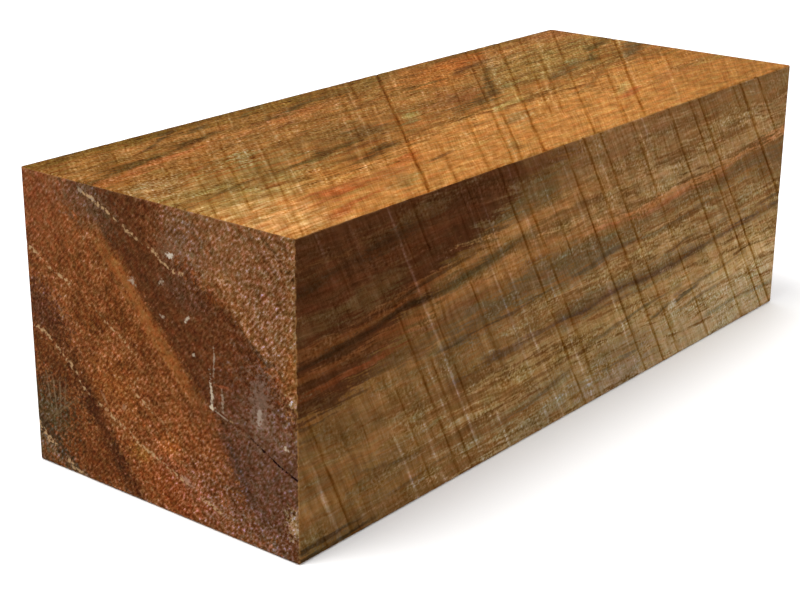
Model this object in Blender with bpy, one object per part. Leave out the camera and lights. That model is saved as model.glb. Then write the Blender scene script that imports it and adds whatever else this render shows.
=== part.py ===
"""Lignum vitae wood blank: one sawn block of heavy dark wood, cut square for turning.

The grain runs along +X. The block lies on its lower face, with its origin at the middle of that
face, +Z up. The four long faces keep the slanting marks of the saw. Both ends show end grain,
with fine drying checks in it. The block is one solid, because it is one piece of wood.
"""

import math
import random

import bmesh
import bpy
from mathutils import Vector

MM = 0.001

# The block's size
LENGTH = 149.0 * MM
WIDTH = 58.3 * MM
HEIGHT = 50.8 * MM
WORN_EDGE = 0.35 * MM

# A saw tooth's mark: a shallow V right across a long face
SAW_MARK_WIDTH = 0.6 * MM
SAW_MARK_DEPTH = 0.22 * MM

# A drying check: a narrow V that follows the rings on an end
CHECK_WIDTH = 0.3 * MM
CHECK_DEPTH = 0.6 * MM
CHECK_TIP = 0.15

# Cutters stand this far out of the wood, and run this far past its edges
CUTTER_RISE = 0.5 * MM
CUTTER_OVERRUN = 1.5 * MM

# Saw marks as (distance from the near end along the upper or back edge, lean across the face),
# both in mm. The lean is how far a mark moves along the block for each mm across it.
FRONT_SAW_MARKS = (
    (-8.0, 0.40),
    (-1.0, 0.43),
    (13.0, 0.47),
    (20.0, 0.50),
    (27.0, 0.53),
    (48.5, 0.58),
    (60.0, 0.60),
    (73.0, 0.62),
    (81.0, 0.64),
    (90.0, 0.66),
    (100.5, 0.70),
    (108.5, 0.73),
    (112.5, 0.74),
    (127.5, 0.76),
    (135.5, 0.78),
)
TOP_SAW_MARKS = (
    (9.0, -0.82),
    (40.0, -0.84),
    (52.0, -0.88),
    (86.5, -0.95),
    (101.0, -0.98),
    (119.0, -1.02),
    (126.0, -1.04),
    (155.0, -1.08),
    (165.0, -1.10),
    (187.0, -1.12),
)

# The faces out of sight follow a rule: an even pitch, a lean that grows along the block, and a
# seeded shift of each mark
HIDDEN_MARK_PITCH = 11.0
HIDDEN_MARK_SHIFT = 3.0
BACK_LEAN = (-0.45, -0.75)
BOTTOM_LEAN = (0.70, 0.95)

# Checks as points (from the back edge, down from the top), in mm, seen from the near end
NEAR_END_CHECKS = (
    ((20.0, 4.2), (24.5, 5.8), (29.0, 7.8), (33.5, 9.6), (40.0, 11.6)),
    ((-0.5, 12.4), (4.5, 14.8), (9.5, 17.2), (15.0, 19.6)),
    ((-0.5, 26.4), (4.5, 27.9), (9.0, 31.2), (12.5, 34.6), (19.0, 38.4), (25.0, 40.6), (31.5, 43.2)),
    ((46.5, 31.2), (50.0, 33.4), (53.5, 35.0), (56.0, 35.7), (59.0, 37.2)),
)
FAR_END_CHECKS = (
    ((6.0, 8.5), (12.0, 10.6), (19.0, 15.4), (24.0, 17.6)),
    ((30.0, 20.2), (36.5, 24.5), (41.0, 29.8), (47.5, 33.0), (52.0, 38.2)),
    ((-0.5, 33.0), (6.0, 36.4), (11.0, 41.0), (18.5, 44.6)),
)


class Face:
    """A flat side of the block, measured in (u, v) from one corner, with its outward normal."""

    def __init__(self, corner, u_axis, v_axis, normal, u_size, v_size):
        self.corner = Vector(corner)
        self.u_axis = Vector(u_axis)
        self.v_axis = Vector(v_axis)
        self.normal = Vector(normal)
        self.u_size = u_size
        self.v_size = v_size

    def point(self, u, v):
        return self.corner + self.u_axis * u + self.v_axis * v


HALF_LENGTH = LENGTH / 2
HALF_WIDTH = WIDTH / 2

FRONT = Face((-HALF_LENGTH, -HALF_WIDTH, HEIGHT), (1, 0, 0), (0, 0, -1), (0, -1, 0), LENGTH, HEIGHT)
BACK = Face((-HALF_LENGTH, HALF_WIDTH, HEIGHT), (1, 0, 0), (0, 0, -1), (0, 1, 0), LENGTH, HEIGHT)
TOP = Face((-HALF_LENGTH, HALF_WIDTH, HEIGHT), (1, 0, 0), (0, -1, 0), (0, 0, 1), LENGTH, WIDTH)
BOTTOM = Face((-HALF_LENGTH, HALF_WIDTH, 0), (1, 0, 0), (0, -1, 0), (0, 0, -1), LENGTH, WIDTH)
NEAR_END = Face((-HALF_LENGTH, HALF_WIDTH, HEIGHT), (0, -1, 0), (0, 0, -1), (-1, 0, 0), WIDTH, HEIGHT)
FAR_END = Face((HALF_LENGTH, HALF_WIDTH, HEIGHT), (0, -1, 0), (0, 0, -1), (1, 0, 0), WIDTH, HEIGHT)


def clear_scene():
    for obj in list(bpy.data.objects):
        bpy.data.objects.remove(obj)


def make_object(name, bm):
    mesh = bpy.data.meshes.new(name)
    bmesh.ops.recalc_face_normals(bm, faces=bm.faces)
    bm.to_mesh(mesh)
    bm.free()
    obj = bpy.data.objects.new(name, mesh)
    bpy.context.scene.collection.objects.link(obj)
    return obj


def sawn_block():
    """The squared block, with its edges worn by a small flat."""
    bm = bmesh.new()
    bmesh.ops.create_cube(bm, size=1.0)
    bmesh.ops.scale(bm, vec=(LENGTH, WIDTH, HEIGHT), verts=bm.verts)
    bmesh.ops.translate(bm, vec=(0, 0, HEIGHT / 2), verts=bm.verts)
    bmesh.ops.bevel(bm, geom=bm.edges[:], offset=WORN_EDGE, segments=1, affect="EDGES")
    return make_object("blank", bm)


def add_groove(bm, face, path, sizes):
    """Lofts a V-shaped cutter along a path on a face. Each point of the path has its own width and depth."""
    points = [face.point(u, v) for u, v in path]
    rings = []
    for i, (point, (width, depth)) in enumerate(zip(points, sizes)):
        along = (points[min(i + 1, len(points) - 1)] - points[max(i - 1, 0)]).normalized()
        across = along.cross(face.normal)
        half_top = width / 2 * (depth + CUTTER_RISE) / depth
        above = point + face.normal * CUTTER_RISE
        ring = (
            bm.verts.new(point - face.normal * depth),
            bm.verts.new(above + across * half_top),
            bm.verts.new(above - across * half_top),
        )
        rings.append(ring)
    for ring, following in zip(rings, rings[1:]):
        for side in range(3):
            after = (side + 1) % 3
            bm.faces.new((ring[side], ring[after], following[after], following[side]))
    bm.faces.new(rings[0])
    bm.faces.new(reversed(rings[-1]))


def saw_mark_cutter(name, face, marks):
    """One cutter object that holds all the saw marks of a long face."""
    bm = bmesh.new()
    size = (SAW_MARK_WIDTH, SAW_MARK_DEPTH)
    for start, lean in marks:
        top, bottom = -CUTTER_OVERRUN, face.v_size + CUTTER_OVERRUN
        path = ((start * MM + lean * top, top), (start * MM + lean * bottom, bottom))
        add_groove(bm, face, path, (size, size))
    return make_object(name, bm)


def check_cutter(name, face, checks):
    """One cutter object for the drying checks of an end. A check is widest at its middle."""
    bm = bmesh.new()
    for check in checks:
        sizes = []
        for i in range(len(check)):
            swell = CHECK_TIP + (1 - CHECK_TIP) * math.sin(math.pi * i / (len(check) - 1))
            sizes.append((CHECK_WIDTH * swell, CHECK_DEPTH * swell))
        add_groove(bm, face, [(u * MM, v * MM) for u, v in check], sizes)
    return make_object(name, bm)


def hidden_marks(leans, seed):
    """Saw marks for a face out of sight, with the same spacing as on the faces in view."""
    rng = random.Random(seed)
    length = LENGTH / MM
    count = int(length / HIDDEN_MARK_PITCH)
    marks = []
    for i in range(-3, count + 4):
        share = min(max(i / count, 0.0), 1.0)
        lean = leans[0] + (leans[1] - leans[0]) * share
        start = i * HIDDEN_MARK_PITCH + rng.uniform(-HIDDEN_MARK_SHIFT, HIDDEN_MARK_SHIFT)
        marks.append((start, lean))
    return marks


def carve(block, cutter):
    """Cuts the block with a cutter, which stays as a hidden guide."""
    cutter.hide_render = True
    cutter.display_type = "WIRE"
    modifier = block.modifiers.new(cutter.name, "BOOLEAN")
    modifier.operation = "DIFFERENCE"
    modifier.object = cutter


def sawn_wood():
    """Warm brown heartwood, a little oily."""
    material = bpy.data.materials.new("sawn_wood")
    material.use_nodes = True
    shader = material.node_tree.nodes["Principled BSDF"]
    shader.inputs["Base Color"].default_value = (0.20, 0.10, 0.04, 1.0)
    shader.inputs["Roughness"].default_value = 0.6
    shader.inputs["Metallic"].default_value = 0.0
    return material


def build():
    clear_scene()
    blank = sawn_block()
    blank.data.materials.append(sawn_wood())
    carve(blank, saw_mark_cutter("front_saw_marks", FRONT, FRONT_SAW_MARKS))
    carve(blank, saw_mark_cutter("top_saw_marks", TOP, TOP_SAW_MARKS))
    carve(blank, saw_mark_cutter("back_saw_marks", BACK, hidden_marks(BACK_LEAN, seed=3)))
    carve(blank, saw_mark_cutter("bottom_saw_marks", BOTTOM, hidden_marks(BOTTOM_LEAN, seed=4)))
    carve(blank, check_cutter("near_end_checks", NEAR_END, NEAR_END_CHECKS))
    carve(blank, check_cutter("far_end_checks", FAR_END, FAR_END_CHECKS))


build()
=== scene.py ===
# %% [markdown]
# # A lignum vitae blank
#
# A turner buys this wood as a squared block, the blank. It is one piece, so the whole lesson goes
# into one closed mesh and its finish: what the saw did to the faces, and what the tree left in them.
# The packed model gives the block's place and size, and every size below starts from it.

import math
import random

import bpy
import numpy as np
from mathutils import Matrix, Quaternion, Vector
from mathutils.geometry import delaunay_2d_cdt


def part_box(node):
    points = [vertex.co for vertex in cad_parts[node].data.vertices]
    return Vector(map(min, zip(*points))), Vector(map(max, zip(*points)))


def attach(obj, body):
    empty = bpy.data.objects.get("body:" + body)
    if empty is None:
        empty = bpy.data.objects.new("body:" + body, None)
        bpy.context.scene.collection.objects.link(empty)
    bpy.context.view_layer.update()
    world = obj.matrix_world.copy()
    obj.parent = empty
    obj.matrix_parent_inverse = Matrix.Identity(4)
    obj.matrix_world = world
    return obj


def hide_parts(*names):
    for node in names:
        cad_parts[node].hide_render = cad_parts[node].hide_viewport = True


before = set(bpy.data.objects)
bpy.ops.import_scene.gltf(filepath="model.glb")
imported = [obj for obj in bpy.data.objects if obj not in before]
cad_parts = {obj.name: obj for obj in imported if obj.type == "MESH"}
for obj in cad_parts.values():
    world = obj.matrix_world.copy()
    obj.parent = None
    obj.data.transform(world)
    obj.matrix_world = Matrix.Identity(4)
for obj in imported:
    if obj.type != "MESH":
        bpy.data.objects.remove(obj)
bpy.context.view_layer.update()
LOW, HIGH = (np.array(corner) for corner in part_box("blank"))
MM = 0.001
SIZE = (HIGH - LOW) / MM
LENGTH, WIDTH, HEIGHT = SIZE
print(f"The block is {LENGTH:.1f} x {WIDTH:.1f} x {HEIGHT:.1f} mm")

# %% [markdown]
# ## The camera
#
# The camera stands where the photographer stood: level with the top of a coffee cup, a forearm away,
# looking down over the near corner. Its place came from the seven corners of the block that show.
# A long lens keeps the block's sides nearly parallel, and a real horizon is never quite level, so a
# third of a degree of roll goes in as well.

# %% Camera
CAMERA_PLACE = Vector((-0.23988, -0.18019, 0.12278))
CAMERA_VIEW = Vector((0.73473, 0.58811, -0.33808))
CAMERA_ROLL = math.radians(0.377)
LENS = 76.76
SENSOR_WIDTH = 36.0
NEAREST = 0.01

camera_data = bpy.data.cameras.new("camera")
camera_data.lens = LENS
camera_data.sensor_width = SENSOR_WIDTH
camera_data.clip_start = NEAREST
camera = bpy.data.objects.new("camera", camera_data)
camera.location = CAMERA_PLACE
camera.rotation_mode = "QUATERNION"
roll = Quaternion((0, 0, 1), CAMERA_ROLL)
camera.rotation_quaternion = CAMERA_VIEW.to_track_quat("-Z", "Y") @ roll
bpy.context.scene.collection.objects.link(camera)
bpy.context.scene.camera = camera
print(f"Camera {CAMERA_PLACE.length / MM:.0f} mm from the block's foot, {LENS} mm lens")

# %% [markdown]
# ## Floor and light
#
# The block lies on a white table that glows like the sky above it, so the picture's ground is plain
# white and only a narrow pale shadow is left at the block's foot. One broad sun from above and behind
# the left end makes the top the brightest side and the front the darkest. A sun has no fall-off, so
# the floor is the same all over. The plain colour transform keeps the wood's own colours, which a
# filmic one would wash out.

# %% Floor
FLOOR_SIZE = 8.0
FLOOR_WHITE = (0.93, 0.93, 0.93, 1.0)
FLOOR_ROUGHNESS = 0.9

bpy.ops.mesh.primitive_plane_add(size=FLOOR_SIZE, location=(0, 0, LOW[2]))
floor = bpy.context.object
floor.name = "floor"
floor_paper = bpy.data.materials.new("floor_paper")
floor_paper.use_nodes = True
paper = floor_paper.node_tree.nodes["Principled BSDF"].inputs
paper["Base Color"].default_value = FLOOR_WHITE
paper["Roughness"].default_value = FLOOR_ROUGHNESS
floor.data.materials.append(floor_paper)
print(f"Floor {FLOOR_SIZE:.0f} m wide, at z = {LOW[2]:.3f} m")

# %% Sky and sun
SKY_STRENGTH = 1.1
SKY_WHITE = (1.0, 1.0, 1.0, 1.0)
SUN_TOWARDS = Vector((-0.42, 0.20, 1.0))
SUN_STRENGTH = 1.8
SUN_SPREAD = math.radians(28)

bpy.context.scene.view_settings.view_transform = "Standard"

sky = bpy.data.worlds.new("sky")
sky.use_nodes = True
background = sky.node_tree.nodes["Background"].inputs
background["Color"].default_value = SKY_WHITE
background["Strength"].default_value = SKY_STRENGTH
bpy.context.scene.world = sky

sun_data = bpy.data.lights.new("sun", "SUN")
sun_data.energy = SUN_STRENGTH
sun_data.angle = SUN_SPREAD
sun = bpy.data.objects.new("sun", sun_data)
sun.rotation_mode = "QUATERNION"
sun.rotation_quaternion = SUN_TOWARDS.to_track_quat("Z", "Y")
bpy.context.scene.collection.objects.link(sun)
height_of_sun = 90 - math.degrees(SUN_TOWARDS.angle(Vector((0, 0, 1))))
print(f"The sun stands {height_of_sun:.0f} degrees high")

# %% [markdown]
# ## Six sides, each with its own map
#
# A tree grows along X, so the block has four long faces, cut along the grain, and two ends, cut
# across it. Each side gets flat coordinates in millimetres: u runs away from the near end, or from
# the back edge on an end, and v runs down, or towards the front. Marks are placed in u and v both in
# the mesh and in the finish, so a groove and its colour can't drift apart.

# %% The sides
class Side:
    """A flat side of the block, with u and v in mm from one of its corners."""

    def __init__(self, name, normal, u_axis, v_axis, saw=None):
        self.name = name
        self.normal = np.array(normal, float)
        self.u_axis = np.array(u_axis, float)
        self.v_axis = np.array(v_axis, float)
        self.corner = np.where(self.u_axis + self.v_axis - self.normal > 0, LOW, HIGH)
        self.u_size = float(abs(SIZE @ self.u_axis))
        self.v_size = float(abs(SIZE @ self.v_axis))
        self.saw = saw
        self.grooves = []

    def place(self, u, v, depth):
        """World points, in metres, for arrays of u, v and depth under the surface, in mm."""
        flat = np.outer(u, self.u_axis) + np.outer(v, self.v_axis) - np.outer(depth, self.normal)
        return self.corner + flat * MM

    def flat(self, points):
        """The u and v of world points."""
        local = (points - self.corner) / MM
        return local @ self.u_axis, local @ self.v_axis


# A blade of the saw leaves strokes that lean across a face, and fan out along it. The pair is the
# lean at the near end and how much it grows with each mm.
SIDES = [
    Side("near_end", (-1, 0, 0), (0, -1, 0), (0, 0, -1)),
    Side("far_end", (1, 0, 0), (0, -1, 0), (0, 0, -1)),
    Side("front", (0, -1, 0), (1, 0, 0), (0, 0, -1), saw=(0.47, 0.0023)),
    Side("back", (0, 1, 0), (1, 0, 0), (0, 0, -1), saw=(-0.50, -0.0020)),
    Side("top", (0, 0, 1), (1, 0, 0), (0, -1, 0), saw=(-0.625, -0.0042)),
    Side("bottom", (0, 0, -1), (1, 0, 0), (0, -1, 0), saw=(0.72, 0.0018)),
]
NEAR_END, FAR_END, FRONT, BACK, TOP, BOTTOM = SIDES
print("Sides:", ", ".join(f"{side.name} {side.u_size:.0f} x {side.v_size:.0f}" for side in SIDES))

# %% [markdown]
# ## What the saw left
#
# A big circular saw cut the long faces. Each tooth swept a shallow arc, so all the strokes on a face
# belong to one fan. A point's stroke is named by where it starts on the upper edge. The formula is
# plain arithmetic, so the same function works on arrays for the mesh and on sockets for the finish.

# %% The fan of saw strokes
PATH_STEP = 4.0


def stroke(side, u, v):
    """Where the saw stroke through (u, v) starts, in mm along the edge v = 0."""
    lean, fan = side.saw
    return (u - lean * v) / (1 + fan * v)


def stroke_path(side, start, top, bottom):
    """The points of one stroke, from v = top to v = bottom."""
    lean, fan = side.saw
    count = max(2, int((bottom - top) / PATH_STEP))
    rows = np.linspace(top, bottom, count)
    return np.column_stack((start + (lean + fan * start) * rows, rows))


for side in (FRONT, TOP):
    near, far = (math.degrees(math.atan(side.saw[0] + side.saw[1] * u)) for u in (0, LENGTH))
    print(f"Strokes of the {side.name}: {near:.0f} degrees off square near, {far:.0f} far")


# %% A groove
class Groove:
    """A V-shaped cut along a path on a side. It tapers to nothing at both of its ends."""

    TAPER = 4.0

    def __init__(self, path, width, depth, strength, kind):
        """Width and depth are in mm. The strength, from 0 to 1, scales the depth and the colour."""
        self.path = np.array(path, float)
        self.width = width
        self.depth = depth
        self.strength = strength
        self.kind = kind

    def reach(self, u, v):
        """How near each point is to the groove's middle line: 1 on it, 0 at its lips and beyond."""
        best = np.full(len(u), np.inf)
        along = np.zeros(len(u))
        travelled = 0.0
        for start, end in zip(self.path, self.path[1:]):
            run = end - start
            length = np.hypot(*run)
            share = np.clip(((u - start[0]) * run[0] + (v - start[1]) * run[1]) / length**2, 0, 1)
            gap = np.hypot(u - start[0] - share * run[0], v - start[1] - share * run[1])
            closer = gap < best
            best = np.where(closer, gap, best)
            along = np.where(closer, travelled + share * length, along)
            travelled += length
        taper = np.clip(np.minimum(along, travelled - along) / self.TAPER, 0, 1)
        return np.clip(1 - best / (self.width / 2), 0, 1) * taper * self.strength, best


print(f"A groove tapers over {Groove.TAPER:.0f} mm at each end")

# %% Saw marks of the front
DARK_DEPTH = 0.10
PALE_DEPTH = 0.05
OVERRUN = 6.0


def saw_marks(side, marks, kind, depth):
    """Adds saw marks given as (start, from v, to v, width, strength). Marks at an edge run off it."""
    for start, top, bottom, width, strength in marks:
        top = -OVERRUN if top <= 0 else top
        bottom = side.v_size + OVERRUN if bottom >= side.v_size - 1 else bottom
        path = stroke_path(side, start, top, bottom)
        side.grooves.append(Groove(path, width, depth, strength, kind))


saw_marks(FRONT, (
    (-10.3, 26, 51, 0.9, 0.75),
    (-6, 38, 51, 0.7, 0.45),
    (8, 26, 51, 0.7, 0.5),
    (14.1, 13, 51, 0.9, 0.65),
    (17.2, 26, 51, 0.8, 0.6),
    (21.6, 0, 44, 0.8, 0.55),
    (25.7, 0, 12, 0.8, 0.55),
    (31.8, 10, 40, 0.8, 0.5),
    (39, 0, 24, 0.7, 0.45),
    (48, 0, 51, 0.9, 0.8),
    (52.3, 0, 51, 1.0, 0.7),
    (58.4, 10, 28, 0.7, 0.5),
    (62.6, 12, 28, 0.7, 0.5),
    (66.7, 0, 51, 0.9, 0.85),
    (72.7, 0, 51, 1.0, 1.0),
    (77.7, 0, 51, 0.9, 0.8),
    (88.2, 0, 51, 0.9, 0.7),
    (100.7, 0, 51, 1.0, 0.8),
    (108.2, 0, 51, 0.9, 0.9),
    (111.6, 0, 51, 1.1, 1.0),
    (113.2, 0, 14, 0.7, 0.5),
    (124.8, 0, 28, 0.8, 0.5),
    (127.7, 0, 51, 1.2, 1.0),
    (134.8, 0, 14, 0.9, 0.9),
), "saw_dark", DARK_DEPTH)
saw_marks(FRONT, (
    (-12.9, 34, 51, 1.3, 1.0),
    (4.2, 0, 10, 0.9, 0.5),
    (4.2, 34, 51, 1.0, 0.7),
    (10.6, 36, 51, 1.4, 0.6),
    (11.2, 0, 12, 0.9, 0.6),
    (16, 26, 51, 0.9, 0.5),
    (20.1, 0, 51, 1.0, 0.9),
    (26.8, 38, 51, 0.9, 0.6),
    (37.7, 0, 51, 0.9, 0.6),
    (41.4, 0, 51, 0.9, 0.6),
    (50.3, 0, 51, 1.0, 0.6),
    (57.6, 0, 13, 0.9, 0.5),
    (64.7, 0, 51, 0.9, 0.55),
    (75, 0, 13, 0.9, 0.5),
    (91.4, 0, 13, 0.9, 0.5),
), "saw_pale", PALE_DEPTH)
print("Saw marks of the front:", len(FRONT.grooves))

# %% Saw marks of the top
saw_marks(TOP, (
    (18.3, 0, 30, 0.8, 0.35),
    (27.4, 12, 30, 0.8, 0.4),
    (33.3, 15, 46, 0.9, 0.45),
    (37.6, 0, 46, 0.8, 0.35),
    (41.5, 14, 46, 0.9, 0.55),
    (47.7, 14, 46, 0.8, 0.4),
    (50.7, 14, 59, 0.8, 0.4),
    (57.8, 14, 30, 0.8, 0.3),
    (76, 0, 46, 0.8, 0.35),
    (80.1, 0, 46, 0.9, 0.4),
    (88.3, 0, 59, 1.0, 1.0),
    (97.4, 42, 59, 0.8, 0.45),
    (108.8, 14, 59, 0.9, 0.45),
    (117.3, 0, 59, 0.9, 0.5),
    (120.6, 0, 59, 0.9, 0.55),
    (128.9, 0, 59, 1.0, 0.75),
    (136.6, 0, 46, 0.9, 0.5),
    (141.2, 12, 46, 0.9, 0.45),
    (149.2, 0, 59, 0.9, 0.55),
    (162.9, 12, 59, 0.9, 0.5),
    (170.9, 12, 59, 1.0, 0.8),
    (180, 12, 46, 0.8, 0.35),
    (189.2, 28, 46, 0.8, 0.35),
), "saw_dark", DARK_DEPTH)
saw_marks(TOP, (
    (9.8, 0, 15, 0.9, 0.4),
    (20.9, 0, 32, 0.9, 0.35),
    (39.3, 0, 46, 0.9, 0.4),
    (44.8, 14, 46, 0.9, 0.3),
    (46.4, 0, 46, 0.8, 0.4),
    (49.8, 14, 46, 0.8, 0.4),
    (55.2, 0, 46, 0.9, 0.5),
    (61, 0, 44, 1.2, 0.4),
    (73.9, 0, 46, 1.0, 0.5),
    (78.5, 0, 32, 0.9, 0.55),
    (83.8, 0, 44, 0.9, 0.35),
    (92.2, 0, 30, 0.9, 0.3),
    (99, 14, 30, 0.9, 0.45),
    (106.4, 14, 46, 0.9, 0.35),
    (118.7, 14, 59, 0.9, 0.4),
    (123.6, 0, 30, 1.8, 0.45),
    (139.4, 14, 46, 1.0, 0.45),
    (142.8, 0, 30, 0.9, 0.4),
    (159, 14, 30, 0.9, 0.4),
    (172.5, 14, 46, 0.9, 0.5),
    (187.8, 28, 59, 0.9, 0.4),
), "saw_pale", PALE_DEPTH)
print("Saw marks of the top:", len(TOP.grooves))


# %% Saw marks of the hidden faces
def hidden_marks(side, seed, pitch):
    """Marks for a face that the photograph doesn't show, about `pitch` mm apart."""
    rng = random.Random(seed)
    marks = []
    start = -0.5 * side.v_size
    while start < side.u_size + 0.6 * side.v_size:
        start += rng.uniform(0.5, 1.5) * pitch
        top = rng.choice((0, 0, rng.uniform(2, 20)))
        bottom = rng.choice((side.v_size, side.v_size, rng.uniform(24, 44)))
        marks.append((start, top, bottom, rng.uniform(0.5, 0.7), rng.uniform(0.35, 1.0)))
    return marks


for side, seed, pale_pitch in ((BACK, 11, 26.0), (BOTTOM, 13, 30.0)):
    saw_marks(side, hidden_marks(side, seed, 9.0), "saw_dark", DARK_DEPTH)
    saw_marks(side, hidden_marks(side, seed + 1, pale_pitch), "saw_pale", PALE_DEPTH)
    print(f"Saw marks of the {side.name}:", len(side.grooves))

# %% [markdown]
# ## Checks and veins in the ends
#
# An end dries first and shrinks, so it opens in fine checks that follow the rings. Most have closed
# again and filled with pale resin and wax, as veins, and one near the front edge is still open. Both
# are cut into the mesh, a hair deep. Paths are read from the photograph, point by point.

# %% Checks and veins
VEIN_DEPTH = 0.06
CHECK_DEPTH = 0.25


def end_lines(side, paths, width, kind, depth):
    """Adds lines to an end, each given as its strength and its path of (u, v)."""
    for strength, path in paths:
        side.grooves.append(Groove(path, width, depth, strength, kind))


end_lines(NEAR_END, (
    (0.9, ((-4, 10), (0, 12.5), (1, 13.2), (4, 14.8), (7, 16.3), (10, 17.3), (13, 19.2))),
    (0.55, ((12, 18.8), (17, 21), (22, 24), (26, 27), (30, 30))),
    (0.9, ((12.5, 0.3), (14, 1.5), (16.7, 2.3), (18.5, 3), (20.3, 4), (22, 4.8), (25, 6.2), (28, 7.6))),
    (0.8, ((26, 6.8), (30, 8), (31, 9), (32.5, 9.6), (34, 10.2), (36, 10.3), (38, 11.3), (41, 12.4))),
    (0.85, ((-4, 25), (0, 26.4), (3, 27), (6, 29), (9, 31), (10.5, 32.5), (12, 34.8), (15, 36.2))),
    (0.75, ((13, 35), (17, 37), (21, 39), (25, 41), (28, 42), (32, 43.5), (36, 45), (40, 46.5),
     (46, 48.5))),
    (0.6, ((21, 30), (24, 32), (27, 34), (30, 35.5), (31, 37), (34, 39))),
    (0.5, ((42, 30.2), (45, 31.5), (48, 32.6), (50, 33.4))),
), 1.5, "vein", VEIN_DEPTH)
end_lines(NEAR_END, (
    (0.9, ((-4, 40.5), (0, 44), (2, 46), (5, 47.5), (8, 49.3), (11.5, 51), (16, 54))),
), 2.2, "vein", VEIN_DEPTH)
end_lines(NEAR_END, (
    (1.0, ((47, 31.8), (50, 33.5), (53, 35), (55, 36), (58, 37), (63, 38.4))),
), 0.6, "check", CHECK_DEPTH)
end_lines(FAR_END, (
    (0.8, ((6, 7.5), (12, 10.4), (19, 15), (24, 17.6), (30, 22))),
    (0.7, ((-4, 30.5), (2, 34), (6, 36.2), (11, 40.6), (18.5, 44.6), (24, 50), (27, 56))),
    (0.5, ((36, -4), (41, 3.2), (45, 6.8), (52, 12), (62, 17.5))),
    (0.4, ((20, 30), (26, 33), (31, 37.5), (36, 40), (43, 46))),
), 1.4, "vein", VEIN_DEPTH)
end_lines(FAR_END, (
    (0.9, ((28, 19), (32, 21.4), (36.5, 24.7), (41, 29.8), (47.5, 33.2), (53, 38.8))),
    (0.7, ((49, -5), (50.5, 3), (52, 7), (52.4, 11))),
), 0.5, "check", CHECK_DEPTH)
print("End grooves:", {side.name: len(side.grooves) for side in (NEAR_END, FAR_END)})

# %% [markdown]
# ## One closed mesh
#
# The faces need points close together only where something happens. A constrained Delaunay
# triangulation does that: an even lattice of points, and the lips and the middle of each groove as
# lines that the triangles must follow. Each face stops a little short of the block's edge, and strips
# of triangles round the edges off and close the block.

# %% Relief of a side
# Sizes are in mm. A wave is its period and its share of the washboard's depth.
CHATTER = 0.035
SAWN_WAVES = ((2.9, 0.4), (4.7, 0.35), (7.9, 0.25))
END_WAVES = ((9.0, 0.3), (16.0, 0.3))
WAVE_LEAN = 0.06
GROOVE_KINDS = ("saw_dark", "saw_pale", "vein", "check")


def chatter(side, u, v):
    """The shallow washboard of a sawn face, or the faint waves of an end, in mm."""
    if side.saw:
        across, waves = stroke(side, u, v), SAWN_WAVES
    else:
        across, waves = u * 0.9 - v * 0.4, END_WAVES
    height = 0
    for period, share in waves:
        phase = across * math.tau / period + WAVE_LEAN * period * v + side.u_size
        height = height + share * (0.5 + 0.5 * np.sin(phase))
    return CHATTER * height


def relief(side, u, v):
    """Depth under the surface at each point, in mm, and the strength of each kind of groove there."""
    depth = chatter(side, u, v)
    kinds = {kind: np.zeros(len(u)) for kind in GROOVE_KINDS}
    for groove in side.grooves:
        reach, _ = groove.reach(u, v)
        depth = depth + reach * groove.depth
        kinds[groove.kind] = np.maximum(kinds[groove.kind], reach)
    return depth, kinds


test_u = np.arange(5.0, LENGTH - 5.0, 0.25)
test_depth, _ = relief(FRONT, test_u, np.full(len(test_u), HEIGHT / 2))
print(f"Along the front's middle the relief is up to {test_depth.max():.2f} mm deep")

# %% Points and triangles of a side
# The lattice's step, the step along an edge, how far a face stops short of it, and how near points
# are joined, all in mm. Then three shares of the lattice's step.
LATTICE = 0.95
EDGE_STEP = 0.5
EDGE_ROUND = 0.32
SNAP = 1e-4
ROW_PITCH = 0.866
JITTER = 0.1
CLEARANCE = 0.4
rng = np.random.default_rng(7)


def spaced(start, end, step):
    """Even places from start to end, about a step apart."""
    return np.linspace(start, end, max(2, int(round(abs(end - start) / step)) + 1))


def groove_lines(groove):
    """The two lips and the middle of a groove, as rows of points about a lattice step apart."""
    steps = np.diff(groove.path, axis=0)
    lengths = np.hypot(steps[:, 0], steps[:, 1])
    travelled = np.concatenate(([0], np.cumsum(lengths)))
    at = spaced(0, travelled[-1], LATTICE)
    line = np.column_stack([np.interp(at, travelled, groove.path[:, i]) for i in (0, 1)])
    along = np.gradient(line, axis=0)
    along /= np.linalg.norm(along, axis=1)[:, None]
    across = np.column_stack((-along[:, 1], along[:, 0]))
    return [line + across * (groove.width / 2 * shift) for shift in (-1, 0, 1)]


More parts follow.
